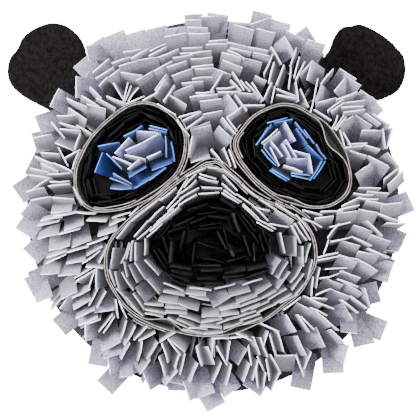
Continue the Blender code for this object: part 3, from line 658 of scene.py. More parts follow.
# tabs set one by one on the drawing grid: the two ends of the free end as the camera sees
# it, with the root on the right-hand side of the way from the first to the second, and the lean
placedTabs = {
    "forehead": (
        (166, 29.5, 185, 26, 54), (87, 47, 103, 36, 64), (105, 37, 123, 29.5, 64), (125, 34, 146, 29, 64),
        (147, 29, 166, 25, 62), (73, 68, 89, 53, 64), (184.5, 15, 202.5, 14, 40), (185, 20.5, 201, 19.5, 34),
        (201, 16.5, 219, 16, 30), (208, 12.5, 228.5, 15.5, 44), (229.5, 21.5, 250, 23.5, 38),
        (234, 25, 254, 29.5, 26), (257, 28, 275, 33.5, 26), (254, 10.5, 271.5, 15, 46),
        (250, 24.5, 269, 17.5, 34), (271, 18, 291, 25, 42), (165, 37, 186, 32.5, 28),
        (189, 33, 209.5, 33.5, 25), (187, 27.5, 207.5, 27.5, 30), (209, 41, 227.5, 40, 22),
        (206.5, 44.5, 227, 44, 18), (227, 42.5, 247, 46.5, 24), (248, 46.5, 268, 51, 22),
        (229, 47, 252.5, 53, 20), (227.5, 50.5, 245, 58, 14), (253.5, 52.5, 270, 56, 18),
        (182, 48, 202, 47.5, 26), (180.5, 53.5, 200, 52, 22), (190, 53, 211.5, 51.5, 20),
        (191, 58.5, 212, 57.5, 16), (192, 66.5, 213, 65, 12), (173, 58, 192, 54.5, 22),
        (167, 67.5, 186, 60.5, 22), (150, 51, 166, 43.5, 24), (149, 55.5, 166, 47, 20),
        (131, 58.5, 148, 48.5, 22), (123, 52, 141, 49, 26), (112, 63, 130, 57, 20), (158, 57, 179, 49, 24),
        (137, 61, 158, 56.5, 30), (119, 66, 137, 61, 28), (121, 72, 142, 75.5, 24), (136, 80, 153.5, 71, 32),
        (154, 70.5, 172, 61.5, 30), (171, 76.5, 193, 68, 26), (195, 69, 213.5, 68, 18),
        (192.5, 79, 212.5, 77, 20), (182, 83, 203, 81.5, 20), (173, 92.5, 193, 85, 30),
        (155, 90, 166, 74.5, 24), (153, 95.5, 165, 80, 22), (163.5, 101, 174, 85, 5),
        (168, 95, 186.5, 105, 28), (143, 100.5, 158, 93, 22), (126, 104, 144, 96, 6), (124, 100, 113, 83, 6),
        (128, 82.5, 123, 101.5, 5), (131, 86, 125, 101, 8), (139, 88, 128, 101, 14),
        (93, 72.5, 108.5, 58.5, 34), (96, 78.5, 113, 67, 26), (99, 85.5, 108, 77, 10),
        (107, 79, 119, 69, 24), (81.5, 96, 99, 106, 22), (96, 98, 116, 108, 16), (107, 96, 125, 103.5, 14),
        (87, 104, 105.5, 109, 28), (90, 87, 101, 98, 12), (80, 86, 88, 72, 50), (286, 31, 305, 39, 40),
        (291.5, 37, 305.5, 26.5, 58), (308, 39, 325.5, 45, 36), (222, 52.5, 241, 58, 22),
        (221.5, 59.5, 243.5, 68, 22), (241, 57.5, 262.5, 62.5, 32), (213, 68, 231, 75, 28),
        (211, 90, 222.5, 73, 4), (216, 88.5, 238, 86, 12), (218, 92.5, 240, 91, 10), (232, 72, 244.5, 90, 6),
        (231, 80, 241, 91, 12), (241, 80, 250, 91, 8), (246, 81.5, 260, 98, 8), (251, 80.5, 264.5, 102, 6),
        (256, 76, 266, 80.5, 16), (238, 93, 259, 94, 24), (243, 105, 265, 105.5, 5),
        (227, 94, 238.5, 109, 24), (235, 95, 247, 110, 10), (226.5, 118, 244, 105, 26),
        (196, 92.5, 214, 91.5, 18), (190, 97.5, 205, 93.5, 24), (197, 96, 217.5, 94, 18),
        (200, 101, 221.5, 99, 20), (203, 114.5, 222, 110.5, 24), (263, 75.5, 273.5, 52, 6),
        (271, 47, 281.5, 63.5, 4), (268, 83, 274.5, 62, 12), (275.5, 86.5, 284.5, 63, 10),
        (264, 98.5, 271.5, 82.5, 12), (271, 101.5, 275.5, 86.5, 3), (284, 36, 295, 54.5, 26),
        (290, 66, 296.5, 48, 6), (293, 81, 300.5, 53, 5), (288, 90, 291.5, 66, 6), (276, 88, 297.5, 97, 6),
        (276, 95, 298.5, 98.5, 18), (295.5, 82, 298.5, 101, 4), (300.5, 89, 308.5, 107, 10),
        (177, 118, 201, 110.5, 6), (182, 121, 201, 111.5, 16), (75.5, 98, 76.5, 75.5, 30),
        (88.5, 60, 86, 47, 50)),
    "upperRight": (
        (307, 79.5, 312, 60.5, 26), (299, 74.5, 311, 62.5, 20), (296, 80, 304.5, 61.5, 6),
        (314, 97.5, 318, 78.5, 5), (310.5, 112, 313.5, 99, 4), (321, 83.5, 333.5, 69, 5),
        (315, 101.5, 321.5, 84.5, 22), (340, 68.5, 356, 79, 30), (344, 75, 361, 85, 34),
        (334.5, 91, 345, 78, 30), (337, 99.5, 357, 91.5, 8), (315, 103.5, 336.5, 97, 22),
        (328, 111, 343, 99, 14), (331.5, 111.5, 344, 102, 18), (343.5, 103, 366, 100, 20),
        (342, 107.5, 363, 106, 14), (343, 112, 366, 109.5, 14), (361, 90, 377, 101, 34),
        (372, 97, 384, 110, 38), (366, 113, 380.5, 124, 18), (373, 113, 391, 126, 16),
        (385.5, 148, 383, 129, 5), (392.5, 127.5, 387, 149, 8), (356, 115.5, 372, 125.5, 34),
        (340, 125, 353, 116, 28), (362.5, 130.5, 382.5, 130.5, 22), (340, 130, 344.5, 146, 8),
        (331.5, 128.5, 338, 115.5, 6), (334, 129, 344, 115.5, 6), (336, 130, 346, 117, 8),
        (314.5, 109.5, 331, 120.5, 5), (348.5, 143.5, 367, 143.5, 8), (345, 147.5, 363, 146, 10),
        (364, 145, 380, 149.5, 10)),
    "betweenEyes": (
        (186.5, 128, 203, 117, 5), (190, 128, 209.5, 122, 34), (190.5, 130, 210.5, 125, 33),
        (188, 157, 192, 136, 10), (177, 119.5, 189, 135.5, 3), (157, 103.5, 176, 115, 3),
        (210, 157.5, 191, 162.5, 24), (211.5, 149, 223, 163.5, 4), (219, 126, 233, 138.5, 24),
        (222.5, 117.5, 235.5, 134, 12), (227, 117.5, 237, 131, 8), (223.5, 148, 231, 166, 6),
        (229, 149.5, 236, 167.5, 4)),
    "leftCheek": (
        (50, 106, 59, 88.5, 40), (67, 98, 86, 106.5, 8), (41, 134, 34.5, 117, 62), (57, 115.5, 75, 115, 14),
        (69, 107.5, 86, 120, 16), (59.5, 122.5, 79, 128, 8), (60, 129, 80, 130.5, 16),
        (51, 122.5, 64.5, 137, 4), (36, 152, 31.5, 134, 62), (33, 138, 51, 134, 30),
        (74.5, 151.5, 55, 142.5, 26), (74.5, 149, 80, 134, 16), (77, 125, 91, 134, 10),
        (58, 147.5, 68, 165.5, 6), (64.5, 158, 80, 150, 14), (72, 169, 79, 152.5, 5),
        (41, 152.5, 59, 154, 14), (35, 156.5, 53.5, 163.5, 8), (53.5, 163.5, 72, 171, 8),
        (24.5, 172.5, 33.5, 155, 60), (41, 163.5, 58, 171, 14), (30, 168, 48, 172, 10),
        (29, 175, 48, 177.5, 10), (48, 174, 69, 173, 12), (50, 181.5, 69, 181, 8),
        (48.5, 186.5, 69, 183.5, 10), (33, 188.5, 50, 178, 6), (23.5, 202.5, 12, 187, 64),
        (21, 213.5, 31, 201, 50), (26, 191.5, 43.5, 188, 20), (31, 199.5, 51, 197.5, 14),
        (52, 197, 74, 199.5, 12), (71, 211, 51, 212.5, 26), (76, 213.5, 52.5, 215.5, 14),
        (95, 213.5, 76, 212.5, 18), (62, 217, 40.5, 221, 8), (60, 221, 36, 226, 8),
        (83.5, 224.5, 64.5, 230, 24), (80, 229, 58, 234.5, 8), (58, 234.5, 38, 239, 18),
        (69.5, 246, 49, 250, 26), (91, 240, 72, 247.5, 30), (106, 221, 87, 221, 18),
        (130, 212.5, 112.5, 218, 12), (125, 219, 109.5, 225.5, 16), (138, 207.5, 130, 215.5, 8),
        (117, 230.5, 98, 236, 14), (108, 237.5, 86, 245, 5), (88, 247.5, 67, 252, 8),
        (66, 251, 46.5, 258, 8), (66, 254.5, 45, 264, 6), (85, 261, 66.5, 263.5, 20),
        (102.5, 247, 87, 255.5, 20), (100, 250.5, 82, 264, 5), (108, 246, 99, 263, 18),
        (74, 187, 82, 203.5, 10), (58.5, 273, 41, 274.5, 22), (81, 274.5, 57, 275.5, 24),
        (103, 268, 86, 267.5, 16), (93, 267, 74, 278.5, 5), (76, 281, 95, 269.5, 14),
        (77, 292, 61.5, 299.5, 26), (33, 239, 15, 229, 48), (38.5, 264, 22, 248, 48), (33, 297, 24, 279, 62),
        (52, 297, 38, 303, 55)),
    "rightCheek": (
        (350, 151, 367, 155.5, 20), (355.5, 174.5, 371, 163.5, 34), (372.5, 159, 389.5, 167.5, 34),
        (368, 156, 389, 166, 8), (387, 153, 400, 167, 20), (384, 179, 399, 168, 15),
        (388, 184, 403, 171, 18), (359, 187.5, 381, 188.5, 12), (354, 193, 373, 195, 10),
        (367, 191, 389.5, 193.5, 20), (407, 192, 414.5, 209.5, 60), (342, 206, 360, 197, 14),
        (358, 197, 378, 200, 8), (366, 201, 388, 204.5, 20), (382, 205, 402, 202.5, 26),
        (338, 210, 360, 205, 6), (303, 210, 322, 215, 10), (321, 211.5, 343, 211, 6),
        (337.5, 213, 357, 211, 26), (359, 209.5, 378, 212.5, 30), (379.5, 214, 399, 221, 4),
        (387, 222.5, 406, 223.5, 8), (407, 233.5, 399, 252.5, 55), (315, 218.5, 333.5, 216, 18),
        (303, 218.5, 321.5, 227, 14), (330, 227, 351, 222, 5), (367, 221, 383, 236, 6),
        (354, 225, 372, 232, 28), (371, 235, 390.5, 241.5, 30), (328, 238, 339, 223, 10),
        (331, 241.5, 351, 237, 8), (352, 236.5, 372, 246, 8), (341, 241, 360, 245.5, 28),
        (368, 248, 389, 258.5, 6), (358.5, 251, 379.5, 255.5, 30), (318, 257.5, 338, 252.5, 6),
        (318, 260, 338, 256.5, 8), (323.5, 254, 328.5, 240, 6), (339, 255, 360, 260, 8),
        (338, 257, 357, 262, 28), (360, 260, 377, 271.5, 24), (325, 268.5, 348, 268.5, 5),
        (341, 270.5, 360, 278, 26), (320, 278.5, 338.5, 273.5, 6), (338, 279, 358, 287, 6),
        (324, 277.5, 343, 284.5, 30), (344.5, 282, 363, 293.5, 30), (316, 294.5, 330, 289, 8),
        (330, 289, 350, 296.5, 28), (350.5, 296.5, 367, 308, 8), (364, 287.5, 371.5, 309, 14),
        (375.5, 280, 382, 303, 62), (394.5, 262, 388, 283.5, 45), (320, 268, 316, 288, 6),
        (313, 277, 312, 296, 8), (303.5, 295.5, 322.5, 304.5, 24), (311, 297.5, 327, 299, 14),
        (317, 303, 334, 308.5, 6), (297, 303, 315, 311.5, 28), (315.5, 311, 332, 326, 26),
        (311, 308, 327, 315.5, 5), (322, 315, 339.5, 332, 6), (341.5, 300.5, 358.5, 312.5, 5),
        (343, 303, 353, 320, 40), (388, 321.5, 380.5, 341, 62), (373.5, 343.5, 355, 347.5, 62),
        (298, 315, 309.5, 332, 6), (301, 316.5, 314, 329.5, 6), (286, 314.5, 296, 331.5, 28),
        (283, 310, 301, 297, 9), (260.5, 323.5, 279, 331.5, 8), (331, 329.5, 344, 343, 16),
        (349, 346, 343.5, 363.5, 34), (357, 333.5, 341, 332, 40)),
    "chin": (
        (95, 270, 88, 289, 6), (96, 289, 96.5, 269, 16), (90, 290, 72, 297.5, 12), (91, 300, 74, 309.5, 26),
        (97.5, 289, 89, 305.5, 8), (106, 292, 97, 308, 15), (114, 310.5, 94, 312, 30),
        (60, 308.5, 69, 295, 36), (67, 337.5, 50.5, 318, 60), (94, 309.5, 76, 319, 10),
        (97, 317.5, 79, 326, 18), (100, 319.5, 86, 324, 5), (85.5, 341, 85.5, 322, 22),
        (121, 342, 102, 350.5, 32), (122, 353, 104, 359, 34), (141.5, 341.5, 138.5, 361, 10),
        (113.5, 314, 98, 332.5, 4), (114, 317, 103.5, 333, 4), (115.5, 300, 118.5, 318, 10),
        (126.5, 321, 121, 339, 10), (119, 301, 127, 318, 8), (135.5, 327, 124.5, 345, 16),
        (130, 344, 121, 359, 12), (147, 326.5, 134, 340, 6), (155, 333, 139, 341, 12),
        (110.5, 374, 107.5, 359, 40), (111.5, 394.5, 97.5, 381, 62), (133, 376, 120, 377.5, 40),
        (138, 372, 128, 374, 55), (158, 343, 147, 359, 20), (150, 360, 140, 374, 16),
        (150, 390.5, 142, 370.5, 35), (164.5, 377, 159, 357, 12), (168, 362.5, 161.5, 344, 6),
        (180.5, 355.5, 168, 339, 6), (175, 332.5, 160, 342, 8), (184.5, 352, 170, 339.5, 24),
        (185.5, 353, 179.5, 376, 12), (179, 356, 175.5, 369, 10), (198, 364, 190, 382.5, 16),
        (201, 366, 197, 346.5, 10), (207.5, 347, 214.5, 364, 22), (178, 371.5, 164.5, 385.5, 16),
        (184, 385, 168, 382, 40), (190, 401, 183, 382, 40), (225, 402, 208, 412.5, 66),
        (214, 393, 197, 399, 50), (213.5, 338, 212, 358, 8), (227.5, 366, 216, 346, 5),
        (230, 342, 227, 361, 5), (221.5, 363, 212.5, 383, 6), (231.5, 364.5, 226, 385.5, 16),
        (247.5, 349.5, 238, 365, 34), (252, 365, 247.5, 347, 6), (253.5, 337, 260, 354.5, 18),
        (260.5, 338, 268, 356.5, 16), (268, 332, 263.5, 346, 6), (275.5, 355, 269.5, 335, 6),
        (278, 331.5, 283.5, 351.5, 18), (275, 355.5, 295.5, 355, 32), (270.5, 355, 281, 373.5, 12),
        (304.5, 377, 295.5, 356.5, 8), (297, 336, 306.5, 355.5, 18), (311.5, 352.5, 304, 369, 12),
        (316, 326, 325, 348, 36), (310, 391, 290.5, 386.5, 66), (343.5, 373, 323.5, 373.5, 58),
        (259.5, 396.5, 243.5, 384.5, 45), (257.5, 361, 253, 380.5, 14), (258.5, 388, 255.5, 368, 8),
        (249.5, 364, 243.5, 382, 10), (269.5, 380.5, 266, 360, 10), (266, 373, 263.5, 389, 8),
        (279.5, 373, 271.5, 391.5, 10), (240, 386.5, 225, 397.5, 55), (264, 371, 257.5, 357, 6),
        (229, 338.5, 212, 339, 8), (247, 337, 230, 338.5, 8), (252, 341, 236, 333.5, 6)),
    "muzzle": (
        (160, 200, 176, 187.5, 6.5), (145, 209, 160, 199, 4.5), (131, 221, 145, 210, 4.5),
        (116.5, 238, 130, 222, 5.5), (110, 269, 113, 248, 22), (115, 286, 109, 270, 3.5),
        (120, 291, 114.5, 272, 18), (129, 305, 116, 288, 3.5), (138, 311, 125, 297.5, 7.5),
        (143, 316, 130, 305, 3.5), (121.5, 263, 128.5, 243, 2), (126, 259, 130.5, 244, 3.5),
        (127, 277, 124, 262, 3), (133, 291, 122, 272, 3), (144, 309.5, 133, 294, 3),
        (134, 237, 148, 220, 4.5), (148, 222, 164, 206, 4.5), (153, 226.5, 170, 211.5, 4),
        (157, 222.5, 173.5, 208, 3), (168, 211, 182, 198, 3), (177, 193.5, 188, 178.5, 3),
        (137, 239, 152, 227, 5.5), (150, 231, 166, 217, 5.5), (147, 237, 162, 223.5, 2),
        (162, 221, 179, 206.5, 5.5), (166, 209, 181, 192, 4.5), (178, 205, 197, 194.5, 6.5),
        (180, 199, 199, 187, 6.5), (181, 193, 196, 180, 5.5), (186, 177, 206, 167, 3.5),
        (184, 187, 196, 174, 3.5), (130.5, 261, 132, 241, 4.5), (134.5, 261, 136, 243, 9),
        (145, 255, 144.5, 239, 2), (159, 275, 144.5, 260.5, 2), (136.5, 283, 129, 265, 24),
        (146, 279, 134, 263, 22), (159.5, 294, 146.5, 279.5, 22), (146, 302.5, 135, 288, 34),
        (163, 283, 184, 291, 2), (184.5, 296, 163, 291.5, 6.5), (205.5, 296, 186, 293, 6.5),
        (190, 288, 211, 290.5, 2), (209, 300.5, 189.5, 296, 2), (177, 304, 158.5, 301, 9),
        (187, 309.5, 164, 307.5, 6.5), (198, 311, 178, 303, 7.5), (163, 306, 144.5, 304, 4.5),
        (166, 314.5, 145, 309.5, 3.5), (163, 317, 145, 314, 2), (187.5, 314.5, 164.5, 312, 4.5),
        (200, 322.5, 179, 315.5, 3.5), (187, 328, 167.5, 317.5, 4.5), (193, 327, 177, 319.5, 4.5),
        (207, 330, 188, 328, 3), (202, 334, 182, 330, 3.5), (222, 319.5, 201, 322.5, 3),
        (222, 328.5, 200, 326.5, 3), (223, 332.5, 203, 334, 3), (219, 316, 202, 317, 7.5),
        (238.5, 313.5, 219, 317, 7.5), (230, 298, 213, 306.5, 28), (250, 291, 230, 296.5, 26),
        (215, 289, 235, 284, 2), (243, 285, 262, 279, 2), (271.5, 285, 256, 294.5, 24),
        (240, 305, 219, 309.5, 9), (240, 306, 221, 311, 4.5), (260, 299, 240, 307, 6.5),
        (257, 296, 237, 303, 18), (260, 304, 241.5, 312, 5.5), (238, 316.5, 216, 325, 4),
        (256, 311, 235.5, 318.5, 3.5), (260, 314, 240, 320.5, 3.5), (243, 322.5, 224, 328.5, 3),
        (262, 318, 243, 324.5, 2), (276, 304.5, 257, 313, 5.5), (269, 301.5, 251, 309.5, 4.5),
        (276, 290.5, 260, 300, 6.5), (287, 289, 268, 300, 6.5), (292, 294.5, 274, 304.5, 7.5),
        (298, 294.5, 280, 303, 3), (288, 262, 278, 278.5, 22), (281, 260, 272, 274, 18),
        (290.5, 272, 277, 289.5, 20), (301, 267, 291, 283, 3), (304, 274, 292, 290, 4),
        (306.5, 283, 294, 295.5, 4.5), (312.5, 260, 307.5, 279.5, 4), (280.5, 233, 285, 253, 2),
        (296, 236.5, 296, 256, 20), (303, 246.5, 303.5, 266.5, 7.5), (311, 244, 305, 262, 2),
        (292, 225.5, 300.5, 243, 4.5), (295.5, 223, 306.5, 240.5, 7.5), (298, 221.5, 311.5, 240.5, 3.5),
        (295, 214.5, 310, 231, 5.5), (275, 203, 294.5, 216, 5.5), (276, 209.5, 293.5, 221, 24),
        (260, 199, 276.5, 210, 2), (253, 206, 269.5, 210.5, 14), (252.5, 205.5, 269, 221, 4.5),
        (270, 223, 288, 227.5, 2), (243.5, 203.5, 258.5, 219, 3), (242.5, 206, 257, 219.5, 2),
        (257.5, 219, 275.5, 229, 4.5), (257, 221.5, 272.5, 231.5, 2), (224, 190, 241.5, 202, 4.5),
        (222, 193, 239, 203, 3), (222.5, 183, 236, 195.5, 2), (221, 173, 239.5, 192.5, 5.5),
        (237, 193.5, 253, 206, 3), (241, 184, 259, 198.5, 4.5), (224, 170, 241, 183, 2),
        (208, 166.5, 224, 170.5, 9), (199, 177, 218, 181.5, 6.5), (200, 174, 216, 178.5, 2),
        (202, 187.5, 222, 188, 4.5), (199, 193.5, 219, 192.5, 5.5)),
    "nose": (
        (184, 204, 203, 197, 10), (203, 197.5, 219, 196, 9), (221, 198, 236, 206, 8),
        (228, 198.5, 243, 208, 3), (243, 209, 258, 223, 4), (246, 214, 257, 226, 3), (259, 226, 272, 237, 3),
        (187, 210, 208, 203, 12), (210, 206.5, 231, 210.5, 8), (197, 214, 217, 211.5, 5),
        (208, 216, 228, 217.5, 8), (175, 225.5, 194, 216.5, 5), (190, 223, 206, 216.5, 6),
        (168, 232, 184, 226.5, 8), (154, 239, 166, 224, 5), (158, 238.5, 169, 225.5, 3),
        (198, 229, 219, 227.5, 4), (200, 225.5, 221, 223.5, 4), (234, 213, 240.5, 231.5, 7),
        (238, 214, 251, 232.5, 4), (241, 213, 256, 232, 6), (252, 232, 259, 243, 5),
        (244.5, 236, 251, 256, 4), (254, 243, 255.5, 261, 5), (262.5, 229, 268.5, 246, 4),
        (269, 240, 272, 254, 8), (260, 234, 265, 251, 3), (218, 231, 227, 249, 5),
        (224.5, 229.5, 228.5, 249.5, 3), (228.5, 243, 235, 256, 5), (192, 264, 195, 241.5, 3),
        (197, 241.5, 217.5, 249, 3), (203, 258.5, 223.5, 262.5, 4), (192, 265.5, 208, 264, 3),
        (180, 248, 183, 231, 5), (168.5, 262.5, 171, 241.5, 11), (227, 261.5, 246, 256.5, 4),
        (167.5, 254, 162.5, 237, 4), (163.5, 267, 154, 250, 4), (167, 264, 158, 249, 6),
        (191, 270.5, 170, 266, 6), (192, 276.5, 171, 271, 8), (189, 282.5, 170, 275, 10),
        (221, 266.5, 199, 266, 5), (222, 271, 201, 271, 7), (246, 271.5, 225, 273.5, 15),
        (269, 266, 248, 271.5, 12), (217, 280.5, 197, 279.5, 8), (245, 276, 222, 279, 8),
        (250, 277.5, 228, 281.5, 5), (270, 271, 250, 277, 6), (205, 284.5, 186, 285, 5),
        (223, 283.5, 205, 285, 5), (186, 286, 171, 280, 5), (176, 283, 165, 273, 4)),
}
placedStyle = {
    "unevenLength": 0.0006,
    "unevenCurl": 5,
    "twist": 3,
    "widthRange": (0.0150, 0.0255),
    "wider": (0.0010, 0.0030),  # than it shows, upright and flat
    "cup": (0.0007, 0.0012),
    "flatFrom": 44,
    "flatCurl": 20,
    "rootMargin": 0.0030,
    "muzzleMargin": 0.0020,
    "leanStep": 1.5,
    "leastLean": 2,
    "leastSlope": 0.03,
    "litFrom": 6,  # painted light: a tab that leans further is painted lighter at its root
    "litOver": 36,
    "flatLit": 0.60,
    "muzzlePaintedShade": (0.88, 0.68),  # painted shade: the muzzle's lower rows are painted darker, as they lie deeper in shade
    "shadeFrom": 225,
    "shadeOver": 60,
}
placedFaces = []  # what each set tab covers: its root, way, half width, reach and climb


def addPlaced(bm, row, dice, rootIsFree, rise=1.0):
    lean = row[4]
    length = tabCut["length"] + uneven(dice, placedStyle["unevenLength"])
    height = baseTop + length * cos(radians(lean))
    first, second = underCamera(*row[0:2], height), underCamera(*row[2:4], height)
    along = (second - first).normalized()
    middle = (first + second) / 2
    root = middle - leftOf(along) * (length * sin(radians(lean)))
    while lean > placedStyle["leastLean"] and not rootIsFree(root):
        lean -= placedStyle["leanStep"]
        root = middle - leftOf(along) * (length * sin(radians(lean)))
    flat = lean > placedStyle["flatFrom"]
    width = clamp((second - first).length + placedStyle["wider"][flat], *placedStyle["widthRange"])
    climb = 1 / max(placedStyle["leastSlope"], abs(sin(radians(lean))) / cos(radians(lean)))
    placedFaces.append((root, along, width / 2, (middle - root).length, climb))
    curl = (placedStyle["flatCurl"] if flat else 0) + uneven(dice, placedStyle["unevenCurl"])
    addTab(bm, root, along, lean=lean - curl / 2, curl=curl, twist=uneven(dice, placedStyle["twist"]),
           cup=uneven(dice, placedStyle["cup"][flat]), width=width, length=length, rise=rise,
           lit=clamp((lean - placedStyle["litFrom"]) / placedStyle["litOver"], 0.0, placedStyle["flatLit"]),
           tone=dice.random())


def inMuzzle(root):
    return isInside(muzzleRim, root, placedStyle["muzzleMargin"])


def outsideRims(root):
    return clearOfRims(root, placedStyle["rootMargin"])


placedNodes = {
    "forehead": nodesNamed("fringe_forehead_"),
    "leftCheek": ["fringe_cheek_%d" % number for number in range(1, 5)],
    "chin": ["fringe_cheek_%d" % number for number in range(5, 9)],
    "rightCheek": ["fringe_cheek_%d" % number for number in range(9, 12)],
    "upperRight": ["fringe_cheek_12"],
    "muzzle": nodesNamed("fringe_muzzle_"),
}

for part, rows in placedTabs.items():
    bm = startFringe()
    dice = random.Random(len(placedFaces))
    for row in rows:
        rise = 1.0
        if part == "muzzle":
            upper, lower = placedStyle["muzzlePaintedShade"]
            shade = clamp((row[1] - placedStyle["shadeFrom"]) / placedStyle["shadeOver"])
            rise = upper + (lower - upper) * shade
        addPlaced(bm, row, dice, inMuzzle if part in ("muzzle", "nose") else outsideRims, rise)
    felt = black if part == "nose" else silverGrey
    finishFringe("placedFringe_" + part, bm, felt, placedNodes.get(part, ()))


def climbsOver(point, margin, aside, near=0.06):
    # how high each set tab stands over this point
    for root, along, halfWidth, reach, climb in placedFaces:
        away = point - root
        if abs(away.x) < near and abs(away.y) < near:
            ahead = away.y * along.x - away.x * along.y
            if abs(away.dot(along)) < halfWidth + aside and -margin < ahead < reach + margin:
                yield max(0.0, ahead) * climb


def isTaken(point, margin):
    # a free end here would come up through a tab that is set already
    return any(True for climb in climbsOver(point, margin, margin * 0.5))


def roomUnder(point, margin=0.001):
    # how high a tab can stand here without coming up through a set one
    return min([tabCut["length"], *climbsOver(point, margin, margin)])


# tabs splayed over the base's edge: where the tip's middle lies, seen from the base's
# middle, the way the tab points off that direction, and how steep it starts
splayedTabs = {
    "rows": ((-101.0, 0.222, 12, 58), (-126.0, 0.233, 26, 60)),
    "curl": 24.0,
    "wider": 0.001,
}


def buildSplayed(dice):
    bm = startFringe()
    for direction, reach, turn, steep in splayedTabs["rows"]:
        lean, curl = steep + uneven(dice, 3), splayedTabs["curl"] + uneven(dice, 5)
        flat = tabCut["length"] * 0.5 * (sin(radians(lean)) + sin(radians(lean + curl)))
        way = direction + turn
        root = polar(reach, direction) - polar(flat, way)
        addTab(bm, root, polar(1.0, way - 90), lean=lean, curl=curl, roll=uneven(dice, 5),
               twist=uneven(dice, 4), cup=uneven(dice, 0.0008), width=tabCut["pitch"] + splayedTabs["wider"],
               lit=placedStyle["flatLit"], tone=dice.random())
    finishFringe("fringeSplayed", bm, silverGrey, nodesNamed("fringe_edge_"))


buildSplayed(random.Random(11))

# a short row pressed against a rim's outer side: the directions between which
# it runs, how far off it stands and how it leans (positive towards the rim)
besideRim = {"rim": eyeRightRim, "first": -42, "last": 26, "off": 0.0055, "lean": -9}


def buildBeside(dice):
    bm = startFringe()
    line = besideLine(besideRim["rim"], besideRim["first"], besideRim["last"], besideRim["off"])
    sewRow(bm, line, dice, lean=besideRim["lean"], split=5, unevenLean=5, keepOff=0.0035)
    finishFringe("besideRimFringe", bm, silverGrey)


buildBeside(random.Random(5))

# tabs lower down in the pile, wherever the others leave the base bare
lowTabs = {
    "spacing": 0.0096,
    "unevenPlace": 0.002,
    "reach": 0.2160,  # from the base's middle
    "length": 0.0390,
    "least": 0.0100,
    "under": 0.0040,  # they end this far under a set tab
    "overHead": (50, 130),  # directions in which the rows run round and not outwards
    "lean": (10, 14),  # in rows outwards and in rows round
    "lookAlong": (0.3, 0.65, 1.0),
    "lookAside": (-0.0115, -0.006, 0.0, 0.006, 0.0115),
    # painted shade: short tabs are painted darker at their free ends, but no darker than this
    "leastRise": 0.65,
    "rimMargin": 0.0032,
}


def buildLow(name, isOpen, middle, lit, dice):
    # painted shade: lit is how light the tabs are painted at their roots
    bm = startFringe()
    onMuzzle = middle.length > 0
    steps = int(2 * lowTabs["reach"] / lowTabs["spacing"])
    for across in range(steps + 1):
        for up in range(steps + 1):
            place = Vector((across, up)) * lowTabs["spacing"] - Vector((1, 1)) * lowTabs["reach"]
            place += Vector((uneven(dice, lowTabs["unevenPlace"]), uneven(dice, lowTabs["unevenPlace"])))
            if place.length > lowTabs["reach"] or not isOpen(place):
                continue
            around = degrees(atan2(place.y - middle.y, place.x - middle.x)) % 360
            ringed = lowTabs["overHead"][0] < around < lowTabs["overHead"][1] or onMuzzle
            along = polar(1.0, around + (90 if ringed else 0) + uneven(dice, 14))
            lean = lowTabs["lean"][ringed] + uneven(dice, 8)
            aside = leftOf(along) * sin(radians(lean))
            length = lowTabs["length"]
            for share in lowTabs["lookAlong"]:
                middleWay = place + aside * (length * share)
                room = min(roomUnder(middleWay + along * off) for off in lowTabs["lookAside"])
                length = min(length, (room - lowTabs["under"]) / (share * cos(radians(lean))))
            if length < lowTabs["least"] or not isOpen(place + aside * length):
                continue
            addTab(bm, place, along, lean=lean, twist=uneven(dice, 6), fan=uneven(dice, 4), length=length,
                   rise=max(lowTabs["leastRise"], length / tabCut["length"]), lit=lit, tone=dice.random())
    finishFringe(name, bm, silverGrey)


# the nose's outline, anticlockwise, and how far inside it its rows run
noseRows = {
    "edge": Line(smoothOutline((
        (-0.004, 0.012), (-0.036, 0.001), (-0.063, -0.021), (-0.079, -0.045), (-0.065, -0.079),
        (-0.036, -0.094), (0.0, -0.096), (0.036, -0.088), (0.07, -0.075), (0.083, -0.052), (0.071, -0.027),
        (0.041, -0.01))), True),
    "insets": (0.004, 0.016, 0.028, 0.040),
}
buildLow("lowFringe", lambda point: clearOfRims(point, lowTabs["rimMargin"]), Vector((0.0, 0.0)), 0.48,
         random.Random(53))
buildLow("lowMuzzleFringe",
         lambda point: inMuzzle(point) and noseRows["edge"].gap(point) > lowTabs["rimMargin"],
         muzzleRim["middle"], 0.20, random.Random(54))
print("outer rows made")


def buildNose(dice):
    bm = startFringe()
    for inset in noseRows["insets"]:
        sewRow(bm, noseRows["edge"].inset(inset), dice, lean=3, split=8, unevenLean=7, curl=4, twist=12,
               fan=6, open=0.3, within=muzzleRim, keepOff=0.0015, length=0.031)
    finishFringe("noseFringe", bm, black, nodesNamed("fringe_nose_"))


buildNose(random.Random(43))
print("muzzle and nose made")

eyeWells = {"insets": (0.0085, 0.0200), "length": 0.044, "margin": 0.0035, "keepOff": 0.0010}
